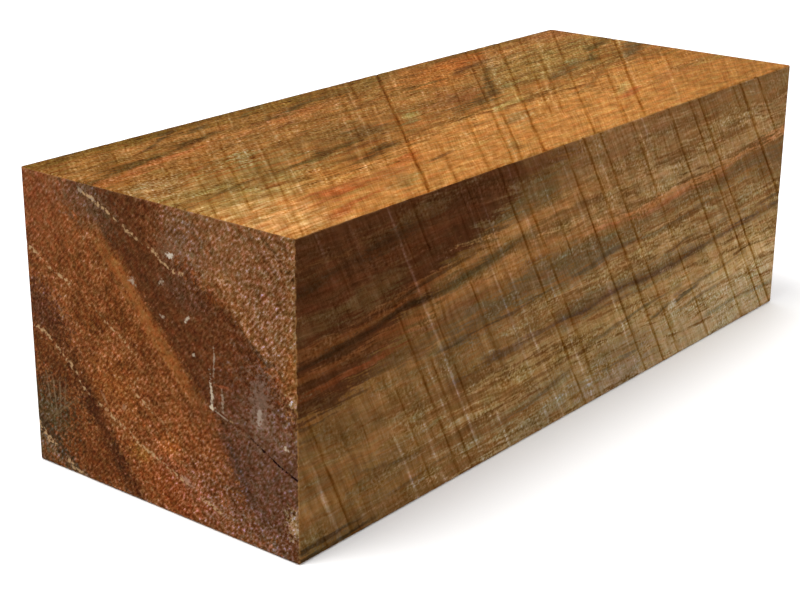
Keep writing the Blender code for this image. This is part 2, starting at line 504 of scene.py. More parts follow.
def triangulate(side):
    """Points (u, v) and triangles of a side, inside its rounded edges."""
    inset, far_u, far_v = EDGE_ROUND, side.u_size - EDGE_ROUND, side.v_size - EDGE_ROUND
    points, edges = [], []

    def add_line(line):
        """Adds points and the edges that join each to the next."""
        first = len(points)
        points.extend(line)
        edges.extend((i, i + 1) for i in range(first, len(points) - 1))

    corners = ((inset, inset), (far_u, inset), (far_u, far_v), (inset, far_v), (inset, inset))
    for (u0, v0), (u1, v1) in zip(corners, corners[1:]):
        step = spaced(0, np.hypot(u1 - u0, v1 - v0), EDGE_STEP)
        share = step / step[-1]
        add_line(np.column_stack((u0 + (u1 - u0) * share, v0 + (v1 - v0) * share)))
    for groove in side.grooves:
        for line in groove_lines(groove):
            near = (line[:, 0] > -1) & (line[:, 0] < side.u_size + 1)
            near &= (line[:, 1] > -1) & (line[:, 1] < side.v_size + 1)
            if near.sum() > 1:
                add_line(line[near])
    rows = spaced(inset, far_v, LATTICE * ROW_PITCH)[1:-1]
    columns = spaced(inset, far_u, LATTICE)[1:-1]
    grid_u, grid_v = np.meshgrid(columns, rows)
    grid_u[::2] += LATTICE / 2
    u, v = grid_u.ravel(), grid_v.ravel()
    u = u + rng.uniform(-JITTER, JITTER, len(u)) * LATTICE
    v = v + rng.uniform(-JITTER, JITTER, len(v)) * LATTICE
    clear = LATTICE * CLEARANCE
    keep = (u < far_u - clear) & (u > inset + clear)
    for groove in side.grooves:
        _, gap = groove.reach(u, v)
        keep &= gap > groove.width / 2 + clear
    points.extend(np.column_stack((u, v))[keep])
    found = delaunay_2d_cdt([Vector(p) for p in points], edges, [], 0, SNAP)
    flat = np.array([tuple(p) for p in found[0]])
    triangles = np.array(found[2])
    middle = flat[triangles].mean(axis=1)
    inside = (middle[:, 0] > inset) & (middle[:, 0] < far_u)
    inside &= (middle[:, 1] > inset) & (middle[:, 1] < far_v)
    triangles = triangles[inside]
    used, triangles = np.unique(triangles, return_inverse=True)
    return flat[used], triangles.reshape(-1, 3)


print(f"Lattice of {LATTICE} mm, and {len(groove_lines(FRONT.grooves[0]))} lines in each groove")

# %% The six faces
KINDS = (*GROOVE_KINDS, "arris")


class Block:
    """Collects points, their marks, triangles and the side that owns each triangle."""

    def __init__(self):
        self.points = []
        self.marks = []
        self.triangles = []
        self.owners = []
        self.count = 0

    def add_points(self, points, marks):
        """Adds points with a row of marks each, and returns their numbers."""
        first = self.count
        self.points.append(points)
        self.marks.append(marks)
        self.count += len(points)
        return np.arange(first, self.count)

    def add_triangles(self, triangles, owner):
        """Adds triangles that wear the material of the side with this number."""
        self.triangles.extend(tuple(int(i) for i in triangle) for triangle in triangles)
        self.owners.extend([owner] * len(triangles))


block = Block()
borders = {}
inset = EDGE_ROUND
for number, side in enumerate(SIDES):
    flat, triangles = triangulate(side)
    u, v = flat[:, 0], flat[:, 1]
    depth, kinds = relief(side, u, v)
    marks = np.column_stack([*kinds.values(), np.zeros(len(u))])
    ids = block.add_points(side.place(u, v, depth), marks)
    block.add_triangles(ids[triangles], number)
    for direction, across, level, along in (
        (-side.u_axis, u, inset, v),
        (side.u_axis, u, side.u_size - inset, v),
        (-side.v_axis, v, inset, u),
        (side.v_axis, v, side.v_size - inset, u),
    ):
        # Joining may have moved a point of the border by as much as SNAP.
        row = np.flatnonzero(abs(across - level) < 1.1 * SNAP)
        borders[number, tuple(direction)] = ids[row[np.argsort(along[row])]]
    print(f"{side.name}: {len(triangles)} triangles")


# %% [markdown]
# The edges come next. Along each of the twelve, both faces end in a row of points. A third row, on
# the round between them, is pushed in a little by chance and by each saw mark that runs over the
# edge, so that the arris looks worn and not machined. A zip of triangles joins the rows, and a small
# cap closes each corner.

# %% Zips and wear
# Depths in mm, the length of the drift in points, and the power that makes deep nicks rare.
LEAST_WEAR = 0.06
WEAR_DRIFT = 0.12
WEAR_WINDOW = 25
NICK = 0.16
NICK_RARITY = 14


def zip_rows(first, second, places, axis):
    """Triangles between two rows of points that run the same way along an axis."""
    first = first[np.argsort(places[first, axis])]
    second = second[np.argsort(places[second, axis])]
    triangles = []
    i = j = 0
    while i < len(first) - 1 or j < len(second) - 1:
        take_first = j == len(second) - 1 or (
            i < len(first) - 1 and places[first[i + 1], axis] <= places[second[j + 1], axis]
        )
        if take_first:
            triangles.append((first[i], first[i + 1], second[j]))
            i += 1
        else:
            triangles.append((first[i], second[j + 1], second[j]))
            j += 1
    return triangles


def wear(count):
    """How far each point along an edge is worn back, in mm: a gentle drift and a few nicks."""
    window = np.ones(WEAR_WINDOW) / WEAR_WINDOW
    drift = np.convolve(rng.uniform(0, 1, count + WEAR_WINDOW - 1), window, mode="valid")
    nicks = rng.uniform(0, 1, count) ** NICK_RARITY
    return LEAST_WEAR + WEAR_DRIFT * drift + NICK * nicks


print(f"An edge is worn back by {LEAST_WEAR} mm at least")

# %% The twelve edges
# What is left of the rounding, of a groove's depth and of its colour in the middle of the round.
ROUND_SHARE = 0.2
GROOVE_SHARE = 0.8
MARK_SHARE = 0.7
centre = (LOW + HIGH) / 2
half = (HIGH - LOW) / 2
inner = half - EDGE_ROUND * MM
edge_ends = {}

for first in range(len(SIDES)):
    for second in range(first + 1, len(SIDES)):
        one, other = SIDES[first], SIDES[second]
        if one.normal @ other.normal < 0:
            continue
        run = np.cross(one.normal, other.normal)
        axis = int(np.argmax(abs(run)))
        at = spaced(-inner[axis], inner[axis], EDGE_STEP * MM)
        base = centre + np.outer(np.ones(len(at)), (one.normal + other.normal) * half)
        base[:, axis] = centre[axis] + at
        worn = EDGE_ROUND * ROUND_SHARE + wear(len(at))
        deep_one, marks_one = relief(one, *one.flat(base))
        deep_other, marks_other = relief(other, *other.flat(base))
        pushed = np.outer(worn + GROOVE_SHARE * deep_one, one.normal)
        pushed = pushed + np.outer(worn + GROOVE_SHARE * deep_other, other.normal)
        marks = [np.maximum(marks_one[kind], marks_other[kind]) * MARK_SHARE for kind in marks_one]
        row = block.add_points(base - pushed * MM, np.column_stack(marks + [np.ones(len(at))]))
        places = np.concatenate(block.points)
        for mine, direction in ((first, other.normal), (second, one.normal)):
            border = borders[mine, tuple(direction)]
            block.add_triangles(zip_rows(border, row, places, axis), mine)
        for end in (row[0], row[-1]):
            toward = np.zeros(3)
            toward[axis] = np.sign(places[end, axis] - centre[axis])
            key = tuple(one.normal + other.normal + toward)
            edge_ends.setdefault(key, []).append((end, first, second))
print("Triangles with the edges:", len(block.triangles))

# %% The eight corners
CORNER_CUT = 0.45
ARRIS_ONLY = np.array([[0, 0, 0, 0, 1.0]])
places = np.concatenate(block.points)
for key, ends in edge_ends.items():
    signs = np.array(key)
    tip = centre + signs * (half - CORNER_CUT * EDGE_ROUND * MM)
    cap = block.add_points(tip[None, :], ARRIS_ONLY)[0]
    for end, first, second in ends:
        for mine in (first, second):
            side = SIDES[mine]
            corner = centre + signs * inner
            corner = corner + side.normal * EDGE_ROUND * MM
            rows = [borders[mine, tuple(d)] for d in (side.u_axis, -side.u_axis)]
            choice = np.concatenate([(row[0], row[-1]) for row in rows])
            nearest = choice[np.argmin(np.linalg.norm(places[choice] - corner, axis=1))]
            block.add_triangles([(nearest, end, cap)], mine)
print("Corners:", len(edge_ends))

# %% Turning the triangles outwards
points = np.concatenate(block.points)
marks = np.concatenate(block.marks)
triangles = np.array(block.triangles)
owners = np.array(block.owners)
normals = np.array([side.normal for side in SIDES])[owners]
first, second, third = (points[triangles[:, i]] for i in range(3))
facing = np.cross(second - first, third - first)
wrong = (facing * normals).sum(axis=1) < 0
triangles[wrong] = triangles[wrong][:, ::-1]

pairs = np.concatenate([triangles[:, [i, (i + 1) % 3]] for i in range(3)])
_, uses = np.unique(np.sort(pairs, axis=1), axis=0, return_counts=True)
print(f"Mesh: {len(triangles)} triangles, edges not shared by two: {(uses != 2).sum()}")

# %% The mesh in Blender
SHARP = math.radians(32)
mesh = bpy.data.meshes.new("wood_block")
mesh.from_pydata(points.tolist(), [], triangles.tolist())
mesh.polygons.foreach_set("material_index", owners.astype(np.int32))
for column, kind in enumerate(KINDS):
    layer = mesh.attributes.new(kind, "FLOAT", "POINT")
    layer.data.foreach_set("value", marks[:, column].astype(np.float32))
mesh.shade_smooth()
mesh.set_sharp_from_angle(angle=SHARP)
piece = bpy.data.objects.new("wood_block", mesh)
bpy.context.scene.collection.objects.link(piece)
print("Attributes:", ", ".join(KINDS))

# %% [markdown]
# ## A map for baking
#
# Other programs read the finish from a picture, which is laid out by a UV map. A block unfolds into
# six rectangles, stacked here with a small gap between them at one scale for all.

# %% Atlas
GAP = 1.6
origins = {}
row_top = GAP
for side in (TOP, BOTTOM, FRONT, BACK):
    origins[side.name] = (GAP, row_top)
    row_top += side.v_size + GAP
origins[NEAR_END.name] = (LENGTH + 2 * GAP, GAP)
origins[FAR_END.name] = (LENGTH + 2 * GAP, HEIGHT + 2 * GAP)
atlas_size = max(row_top, LENGTH + WIDTH + 3 * GAP)

corner_points = points[triangles.ravel()]
corner_owner = np.repeat(owners, 3)
uv = np.zeros((len(corner_points), 2))
for number, side in enumerate(SIDES):
    mine = corner_owner == number
    u, v = side.flat(corner_points[mine])
    left, down = origins[side.name]
    uv[mine] = np.column_stack((u + left, v + down)) / atlas_size
layer = mesh.uv_layers.new(name="OFBake")
layer.data.foreach_set("uv", uv.astype(np.float32).ravel())
print(f"Atlas: {atlas_size:.0f} mm square")

# %% [markdown]
# ## Shader maths as plain expressions
#
# A wood finish is mostly arithmetic on positions. A small class wraps a socket, so that `1 - mask`
# adds a Math node, and one method makes every other kind of node.

# %% Sockets that do arithmetic
class Socket:
    """An output in a shader. Operators on it add Math nodes."""

    def __init__(self, shader, output):
        self.shader = shader
        self.output = output

    def math(self, operation, *values):
        """The result of a Math node."""
        return self.shader.node("Math", {"operation": operation}, dict(enumerate(values)))

    def __add__(self, other):
        return self.math("ADD", self, other)

    def __sub__(self, other):
        return self.math("SUBTRACT", self, other)

    def __rsub__(self, other):
        return self.math("SUBTRACT", other, self)

    def __mul__(self, other):
        return self.math("MULTIPLY", self, other)

    def __truediv__(self, other):
        return self.math("DIVIDE", self, other)

    def __rtruediv__(self, other):
        return self.math("DIVIDE", other, self)

    def __abs__(self):
        return self.math("ABSOLUTE", self)

    __radd__ = __add__
    __rmul__ = __mul__


print("A socket knows + - * / and abs")


# %% Nodes
def set_curves(mapping, curves):
    """Gives a curve node its points, one list of (x, y) for each channel."""
    mapping.extend = "HORIZONTAL"
    for curve, wanted in zip(mapping.curves, curves):
        while len(curve.points) < len(wanted):
            curve.points.new(0.5, 0.5)
        for point, place in zip(curve.points, wanted):
            point.location = place
            point.handle_type = "AUTO_CLAMPED"
    mapping.update()


class Shader:
    """A material's nodes."""

    def __init__(self, name):
        self.material = bpy.data.materials.new(name)
        self.material.use_nodes = True
        self.tree = self.material.node_tree
        self.tree.nodes.clear()

    def node(self, kind, settings=None, sockets=None, output=0):
        """Adds a node: its settings first, then the value or link of each socket."""
        made = self.tree.nodes.new("ShaderNode" + kind)
        for name, value in (settings or {}).items():
            if name == "curves":
                set_curves(made.mapping, value)
            else:
                setattr(made, name, value)
        for name, value in (sockets or {}).items():
            if isinstance(value, Socket):
                self.tree.links.new(value.output, made.inputs[name])
            else:
                made.inputs[name].default_value = value
        return Socket(self, made.outputs[output]) if made.outputs else None


print("A node has three parts: a type, its settings, and what goes into its sockets")

# %% [markdown]
# ## The wood's own vocabulary
#
# Each side's shader knows its u and v in millimetres. A *cloud* is soft noise stretched along the
# grain. A *streak* follows a path along the grain and a *spot* is an ellipse, and both fray into
# fibres at their rims, so that neither looks painted. *Shade* makes what is there lighter or darker.
# In this wood fine light and dark is warm: blue changes twice as much as red, and the gains say so.
# Colours are given as they look on that side in daylight, and the light that falls on the side is
# divided out again.

# %% Colours
FINE_GAINS = (0.75, 1.11, 2.05)
BROAD_GAINS = (0.90, 1.05, 1.30)
RUST_GAINS = (0.30, -0.22, -0.30)
KHAKI_GAINS = (-0.20, -0.02, -0.05)


def linear(level):
    """The linear light of an 8-bit level, as the sRGB standard defines it."""
    level = level / 255
    return level / 12.92 if level <= 0.04045 else ((level + 0.055) / 1.055) ** 2.4


print(f"Level 128 of 255 is {linear(128):.2f} of full light")

# %% A side's shader
class Wood(Shader):
    """The finish of one side.

    A subclass sets `bent` and `bent_v`, the place with a little wander in it, `fray`, the noise that
    roughens the rims of shapes, and `softness`, how wide those rims are.
    """

    LOWEST_V, SPAN_V, SPAN_HALF = -20.0, 100.0, 30.0
    DARKEST, BRIGHTEST = 0.002, 0.95

    def __init__(self, side, seed, light, gloss):
        super().__init__("wood_" + side.name)
        self.side = side
        self.seed = seed
        self.light = light
        self.gloss = gloss
        place = self.node("TexCoord", output="Object")
        self.u = self.measure(place, side.u_axis)
        self.v = self.measure(place, side.v_axis)
        self.share = self.u / side.u_size

    def measure(self, place, axis):
        """Distance along an axis from the side's corner, in mm."""
        settings = {"operation": "DOT_PRODUCT"}
        along = self.node("VectorMath", settings, {0: place, 1: tuple(axis)}, "Value")
        return (along - float(self.side.corner @ axis)) * (1 / MM)

    def colour(self, seen):
        """The wood's own colour, from the 8-bit colour that it shows in this side's light."""
        own = [max(linear(level) - self.gloss, self.DARKEST) / self.light for level in seen]
        return tuple(min(level, self.BRIGHTEST) for level in own) + (1.0,)

    def noise(self, x, y, detail, shift):
        """Noise from 0 to 1 over x and y. The shift makes each noise another one."""
        vector = self.node("CombineXYZ", {}, {0: x, 1: y, 2: self.seed + shift})
        sockets = {"Vector": vector, "Scale": 1.0, "Detail": detail, "Roughness": 0.55}
        return self.node("TexNoise", {}, sockets)

    def patches(self, size, detail, shift):
        """Noise whose patches are round and about this wide, in mm."""
        return self.noise(self.u / size, self.v / size, detail, shift)

    def fade(self, value, start, end):
        """0 before start and 1 after end, with a smooth step between them."""
        sockets = {"Value": value, "From Min": start, "From Max": end}
        return self.node("MapRange", {"interpolation_type": "SMOOTHSTEP"}, sockets)

    def mix(self, share, under, over):
        """One colour laid over another."""
        return self.node("Mix", {"data_type": "RGBA"}, {0: share, 6: under, 7: over}, 2)

    def shade(self, colour, level, gains):
        """A colour made lighter or darker by a level in powers of e, with a gain for each channel."""
        scales = {i: level.math("EXPONENT", level * gain) for i, gain in enumerate(gains)}
        scale = self.node("CombineXYZ", {}, scales)
        return self.node("VectorMath", {"operation": "MULTIPLY"}, {0: colour, 1: scale})

    def attribute(self, name):
        """How strong a kind of mark is here, as the mesh carries it."""
        return self.node("Attribute", {"attribute_name": name}, {}, "Fac")

    def rim(self, closeness):
        """1 well inside a shape and 0 outside, from how near its middle a point is."""
        return self.fade(closeness + self.fray, 0.0, 1.0)

    def streak(self, soft, *path):
        """A mask along a path of (u, v, half width, strength), whose rims are this soft, in mm."""
        codes = [
            (u / self.side.u_size, (v - self.LOWEST_V) / self.SPAN_V, half / self.SPAN_HALF, strength)
            for u, v, half, strength in path
        ]
        curves = [[(code[0], code[i]) for code in codes] for i in (1, 2, 3)]
        bent = self.node("RGBCurve", {"curves": curves}, {"Color": self.share})
        split = self.node("SeparateXYZ", {}, {0: bent})
        middle, half, strength = (Socket(self, output) for output in split.output.node.outputs)
        gap = abs(self.bent_v - (middle * self.SPAN_V + self.LOWEST_V))
        closeness = (half * self.SPAN_HALF - gap) / (soft * self.softness)
        return self.rim(closeness + 0.35) * strength

    def spot(self, u, v, long, wide, turn=0.0):
        """A mask round (u, v), turned by degrees from u towards v."""
        sockets = {"Vector": self.bent, "Location": (u, v, 0), "Scale": (long, wide, 1)}
        sockets["Rotation"] = (0, 0, math.radians(turn))
        local = self.node("Mapping", {"vector_type": "TEXTURE"}, sockets)
        distance = self.node("VectorMath", {"operation": "LENGTH"}, {0: local}, "Value")
        return self.rim(1.35 - distance)

    def mask(self, kind, *facts):
        """A mask of either kind, from the facts in a list of figures."""
        return self.streak(*facts) if kind == "streak" else self.spot(*facts)

    def paint(self, colour, figures):
        """Lays figures over a colour. Each is (seen colour, share, kind of mask, its facts)."""
        for seen, share, *facts in figures:
            colour = self.mix(self.mask(*facts) * share, colour, self.colour(seen))
        return colour

    def finish(self, colour, roughness, height, depth, specular):
        """Joins the parts into the material: colour, roughness and fine relief."""
        bump = self.node("Bump", {}, {"Strength": 1.0, "Distance": depth * MM, "Height": height})
        sockets = {"Base Color": colour, "Roughness": roughness, "Normal": bump}
        sockets["Specular IOR Level"] = specular
        shader = self.node("BsdfPrincipled", {}, sockets)
        self.node("OutputMaterial", {}, {"Surface": shader})
        return self.material


print("A side's shader has", ", ".join(name for name in vars(Wood) if name[0].islower()))

# %% [markdown]
# ## Sawn faces
#
# All four long faces share one recipe. First the ground, two browns in long clouds, then the figures
# of that face from a list. Over them go three layers of texture: fibres and short dashes along the
# grain, scratches and sweeps of the saw across it, which together give the look of linen, and a drift
# of hue between rust and olive. Last come the saw marks themselves, the dark ones darkened and the
# pale ones burnished. A dict says how strong each layer is on a face. A noise takes its sizes in
# mm, then its detail, and last a number that only makes it another noise than the rest.

# %% Fibres of a long face
class SawnWood(Wood):
    """Wood sawn along the grain."""

    softness = 1.7

    def __init__(self, side, seed, light, gloss):
        super().__init__(side, seed, light, gloss)
        slow = self.noise(self.u / 30, self.v / 11, 1.0, 5)
        quick = self.noise(self.u / 8, self.v / 2.2, 2.0, 9)
        self.bent_v = self.v + (slow - 0.5) * 2.4 + (quick - 0.5) * 1.0
        self.bent = self.node("CombineXYZ", {}, {0: self.u, 1: self.bent_v, 2: 0.0})
        self.hair = self.cloud(5, 0.45, 3.0, 31)
        self.fibre = self.cloud(16, 1.3, 3.0, 33)
        self.grit = self.patches(0.55, 1.5, 39) - 0.5
        self.fray = (self.hair - 0.5) * 2.5 + (self.fibre - 0.5) * 4.0 + self.grit * 1.5

    def cloud(self, along, across, detail, shift):
        """Noise whose patches are about this long and wide, in mm."""
        return self.noise(self.u / along, self.bent_v / across, detail, shift)


print(f"Rims of a streak on a long face are {SawnWood.softness} times as soft as listed")

# %% Recipe of a long face
# The pale colour of a long face's rounded edges: partly wear, partly a painted highlight along the
# arris.
ARRIS_WEAR_AND_HIGHLIGHT = (196, 140, 84)
SAW_MARK_DARKENING = 0.95
SAW_BURNISH = 0.7
WOOD_SHINE = 0.006
WOOD_BUMP = 0.12


def sawn(wood, grounds, figures, weave):
    """The material of a long face, from its two ground colours, its figures and its weave."""
    dark, light = grounds
    clouds = wood.fade(wood.cloud(46, 5.5, 2.0, 11), 0.34, 0.66)
    colour = wood.paint(wood.mix(clouds, wood.colour(dark), wood.colour(light)), figures)
    wobble = wood.patches(9, 1.0, 45) - 0.5
    across = stroke(wood.side, wood.u, wood.v) + wobble * 1.2
    scratches = wood.noise(across / 0.5, wood.v / 5, 2.0, 41)
    sweeps = wood.noise(across / 1.6, wood.v / 22, 2.5, 43)
    ticks = wood.fade(wood.noise(across / 1.0, wood.v / 12, 2.0, 67), 0.40, 0.28)
    dashes = wood.cloud(2.2, 0.5, 2.0, 37)
    mottle = wood.cloud(5, 1.8, 3.0, 49)
    coarse = wood.cloud(11, 4.5, 3.0, 61) + (weave["coarse_to"] - wood.v) * weave["coarse_slope"]
    coarse = wood.fade(coarse, 0.40, 0.64)
    flecks = wood.fade(wood.cloud(3.2, 0.55, 2.0, 63), 0.40, 0.28)
    broad = (wood.fibre - 0.5) * weave["fibre"] + (sweeps - 0.5) * weave["sweeps"]
    broad = broad + (mottle - 0.5) * weave["mottle"]
    fine = (wood.hair - 0.5) * weave["hair"] + (dashes - 0.5) * weave["dashes"]
    fine = fine + (scratches - 0.5) * weave["scratches"]
    fine = fine + wood.grit * (coarse + 0.25) * weave["grit"] - ticks * weave["ticks"]
    fine = fine - flecks * (coarse + 0.3) * weave["flecks"]
    rust = (wood.cloud(5, 1.2, 3.0, 53) - 0.5) * weave["rust"]
    colour = wood.shade(colour, broad, BROAD_GAINS)
    colour = wood.shade(colour, fine, FINE_GAINS)
    colour = wood.shade(colour, rust, RUST_GAINS)
    colour = wood.shade(colour, coarse * weave["khaki"], KHAKI_GAINS)
    worn = wood.noise(across / 0.7, wood.v / 5, 3.0, 47) * 3.4 - 0.8
    saw_dark = wood.attribute("saw_dark") * worn
    saw_pale = wood.attribute("saw_pale") * worn
    # Dark saw marks are made darker along their grooves and pale ones lighter.
    colour = wood.shade(colour, saw_pale * SAW_BURNISH - saw_dark * SAW_MARK_DARKENING, FINE_GAINS)
    # Lightens the rounded edges: partly worn wood, partly a painted highlight where the edge catches
    # light.
    arris_wear_and_highlight = wood.attribute("arris") * wood.fade(wood.fibre, 0.42, 0.6)
    colour = wood.mix(arris_wear_and_highlight * 0.4, colour, wood.colour(ARRIS_WEAR_AND_HIGHLIGHT))
    height = wood.hair * 0.5 + dashes * 0.6 + scratches + sweeps * 0.5
    roughness = 0.66 + 0.12 * (dashes - 0.5) + 0.1 * saw_dark - 0.12 * saw_pale
    return wood.finish(colour, roughness, height, WOOD_BUMP, WOOD_SHINE)


print("Layers of a long face: ground, figures, broad, fine, rust, khaki, saw marks, worn arris")

# %% [markdown]
# ## The front face
#
# The near half holds the dark heart, purple-brown and nearly black at the top corner. Streaks leave
# it to the right and rise a little, and the face is painted paler and greyer towards the far end:
# partly the wood's own colour and partly a painted gradient of light.
#
# A figure is a colour as seen, the share of it that covers the ground, and a mask. A streak has the
# softness of its rims and a path of (u, v, half width, strength), and a spot has its place, its half
# length, its half width and its turn in degrees. Each list is painted in order, the grounds first.

# %% Colours and weave of the front
FRONT_LIGHT = 1.22
FRONT_GLOSS = 0.001
HEART = (70, 38, 19)
BLACK = (48, 29, 14)
PLUM = (72, 46, 32)
GREY = (92, 71, 47)
RUSSET = (112, 66, 33)
AMBER = (150, 103, 57)
OCHRE = (154, 118, 76)
BONE = (147, 122, 91)
FRONT_GROUNDS = ((110, 76, 42), (132, 93, 53))
FRONT_WEAVE = {
    "fibre": 0.7, "sweeps": 1.0, "mottle": 0.6, "hair": 0.8, "dashes": 0.7, "scratches": 0.9,
    "ticks": 0.3, "grit": 1.6, "flecks": 0.3, "rust": 1.2, "khaki": 0.4,
    "coarse_to": 25, "coarse_slope": 0.0,
}
print("Layers in a weave:", len(FRONT_WEAVE))

# %% Front: ground and heart
front_figures = (
    # These three large pale spots are partly paler wood and partly a painted gradient of light, lighter
    # towards the far end.
    ((158, 123, 78), 0.85, "spot", 120, 42, 66, 22),
    ((172, 146, 108), 0.85, "spot", 126, 52, 62, 15),
    ((146, 114, 72), 0.8, "spot", 78, 46, 29, 12),
    ((130, 93, 60), 0.6, "streak", 2.5, (64, 3, 2, 0), (74, 3.5, 5, 0.8), (86, 4.5, 5, 0.8),
     (100, 4.5, 4, 0.7), (114, 4, 2, 0)),
    ((108, 82, 54), 0.5, "streak", 2, (108, 1, 1, 0), (120, 1.5, 2.2, 0.8), (132, 1.5, 2.4, 0.9),
     (149, 1.5, 2, 0.8)),
    (HEART, 0.95, "streak", 2.6, (0, 9, 20.5, 1), (10, 8.5, 19.5, 1), (20, 6.6, 17, 1),
     (30, 4, 14, 1), (40, 2, 12, 1), (50, 1, 10.6, 0.95), (56, -1, 9, 0.6), (63, -2.5, 7.4, 0.4),
     (70, -4, 5, 0.2), (78, -6, 3, 0)),
    ((156, 116, 72), 0.5, "spot", 87, 14, 13, 4, -4),
    ((176, 142, 92), 0.6, "spot", 138, 37, 15, 3, -2),
    ((96, 70, 44), 0.6, "spot", 145, 19.5, 10, 3),
    ((96, 68, 40), 0.4, "spot", 53, 31, 10, 3, -4),
    ((120, 92, 58), 0.4, "spot", 12, 48, 12, 4),
    ((136, 114, 94), 0.5, "spot", 88, 48, 12, 4, -2),
    ((138, 106, 72), 0.4, "spot", 100, 8, 9, 5),
    ((112, 84, 52), 0.4, "spot", 125, 25, 11, 2.6, -3),
    ((82, 56, 31), 0.65, "streak", 1.6, (14, 26, 1, 0), (22, 25, 2.2, 1), (32, 24.4, 2, 0.8),
     (44, 24, 1, 0)),
    ((96, 70, 40), 0.4, "spot", 17, 12.5, 7, 2.8, -8),
    ((90, 64, 36), 0.3, "spot", 5, 14, 6, 2.2, -8),
    ((104, 77, 46), 0.6, "spot", 56, 7.5, 10, 3.6, -12),
    ((92, 66, 38), 0.4, "spot", 30, 3, 8, 2.0, -8),
)
print("Ground and heart:", len(front_figures), "figures")

# %% Front: streaks of the near half
front_figures += (
    ((82, 46, 24), 0.7, "streak", 1.5, (0, 11, 1.6, 0.8), (12, 9.4, 1.8, 1), (24, 8, 1.8, 1),
     (36, 5.4, 1.6, 0.8), (50, 3, 1.5, 0.9), (64, 1.5, 1.4, 0.8), (76, 1, 1, 0)),
    ((92, 60, 30), 0.6, "streak", 1.2, (0, 5.6, 0.7, 0.9), (8, 5.2, 0.8, 0.9), (16, 3.6, 0.7, 0.6),
     (24, 2, 0.5, 0)),
    (BLACK, 0.8, "streak", 0.9, (0, 8.6, 0.8, 0.9), (10, 7.2, 0.7, 0.8), (20, 5.2, 0.8, 0.9),
     (30, 4.2, 0.7, 0.6), (40, 3, 0.5, 0)),
    ((84, 60, 32), 0.4, "streak", 1.6, (0, 14, 1.6, 0.7), (8, 13.4, 1.8, 0.9), (18, 12.4, 2, 0.9),
     (26, 11.6, 1.4, 0.4), (34, 11, 1, 0)),
    ((98, 74, 44), 0.7, "streak", 1.6, (40, 11, 1, 0), (47, 9.5, 1.6, 0.7), (54, 7, 2.2, 0.9),
     (62, 6.4, 2.2, 0.8), (72, 6.5, 1.6, 0)),
    (RUSSET, 0.75, "streak", 1.0, (0, 17.6, 1.2, 0.7), (15, 17, 1.2, 0.8), (30, 14.9, 1.3, 0.9),
     (38, 13.8, 1.2, 0.5), (46, 12.8, 1, 0)),
    (AMBER, 0.8, "streak", 1.0, (30, 15, 1.2, 0), (40, 13.6, 1.3, 0.9), (50, 12.3, 1.5, 1),
     (62, 11, 1.6, 0.9), (75, 10.3, 1.6, 0.7), (90, 9.5, 1.2, 0)),
    (RUSSET, 0.8, "streak", 1.0, (0, 21.8, 1, 0.6), (12, 21, 1.1, 0.8), (24, 20, 1.2, 0.9),
     (34, 19.2, 1.2, 0.6), (44, 18.4, 1, 0)),
    ((148, 100, 56), 0.8, "streak", 1.2, (24, 19.8, 1.2, 0), (36, 19.3, 1.6, 0.9), (50, 17.8, 2, 1),
     (65, 17.4, 1.8, 0.8), (78, 17, 1.2, 0)),
    ((110, 58, 29), 0.85, "streak", 0.5, (0, 24.6, 0.6, 0.9), (10, 23.8, 0.6, 0.9),
     (20, 23.2, 0.6, 0.9), (30, 22.2, 0.5, 0.7), (42, 21.2, 0.5, 0.6), (60, 18.7, 0.4, 0.5),
     (68, 18.4, 0.3, 0)),
    (BLACK, 0.85, "streak", 0.5, (0, 19.8, 0.6, 0.9), (10, 18.8, 0.6, 1), (20, 17.9, 0.6, 1),
     (27, 16.9, 0.6, 1), (35, 17, 0.5, 0.7), (42, 15.8, 0.6, 0.9), (50, 14.7, 0.5, 0.6),
     (57, 14, 0.4, 0)),
    (BLACK, 0.75, "streak", 0.3, (18, 16, 0.3, 0), (24, 15.2, 0.35, 0.8), (30, 14.3, 0.35, 0.9),
     (40, 13.2, 0.3, 0.8), (48, 12.2, 0.3, 0)),
    ((84, 66, 38), 0.7, "streak", 0.9, (32, 17, 0.8, 0), (36, 17, 1, 0.7), (43, 16, 1.2, 0.9),
     (52, 14.4, 1, 0.7), (61, 13.5, 0.8, 0)),
    ((60, 32, 14), 0.8, "streak", 0.4, (0, 23.1, 0.4, 0.9), (14, 21.8, 0.4, 0.7), (22, 20.8, 0.3, 0)),
    ((66, 38, 19), 0.7, "streak", 1.8, (0, 27, 2.2, 1), (6, 27, 2.2, 1), (11, 26.6, 1.4, 0.7),
     (17, 26, 0.6, 0)),
    ((92, 64, 34), 0.6, "spot", 4, 35, 12, 6.5),
    ((96, 70, 40), 0.5, "spot", 22, 42, 10, 3.5),
    ((100, 72, 42), 0.6, "spot", 36, 29, 8, 5.5, -8),
    ((98, 70, 42), 0.5, "spot", 38, 21.5, 6, 2.0, -10),
)
print("With the near half:", len(front_figures))

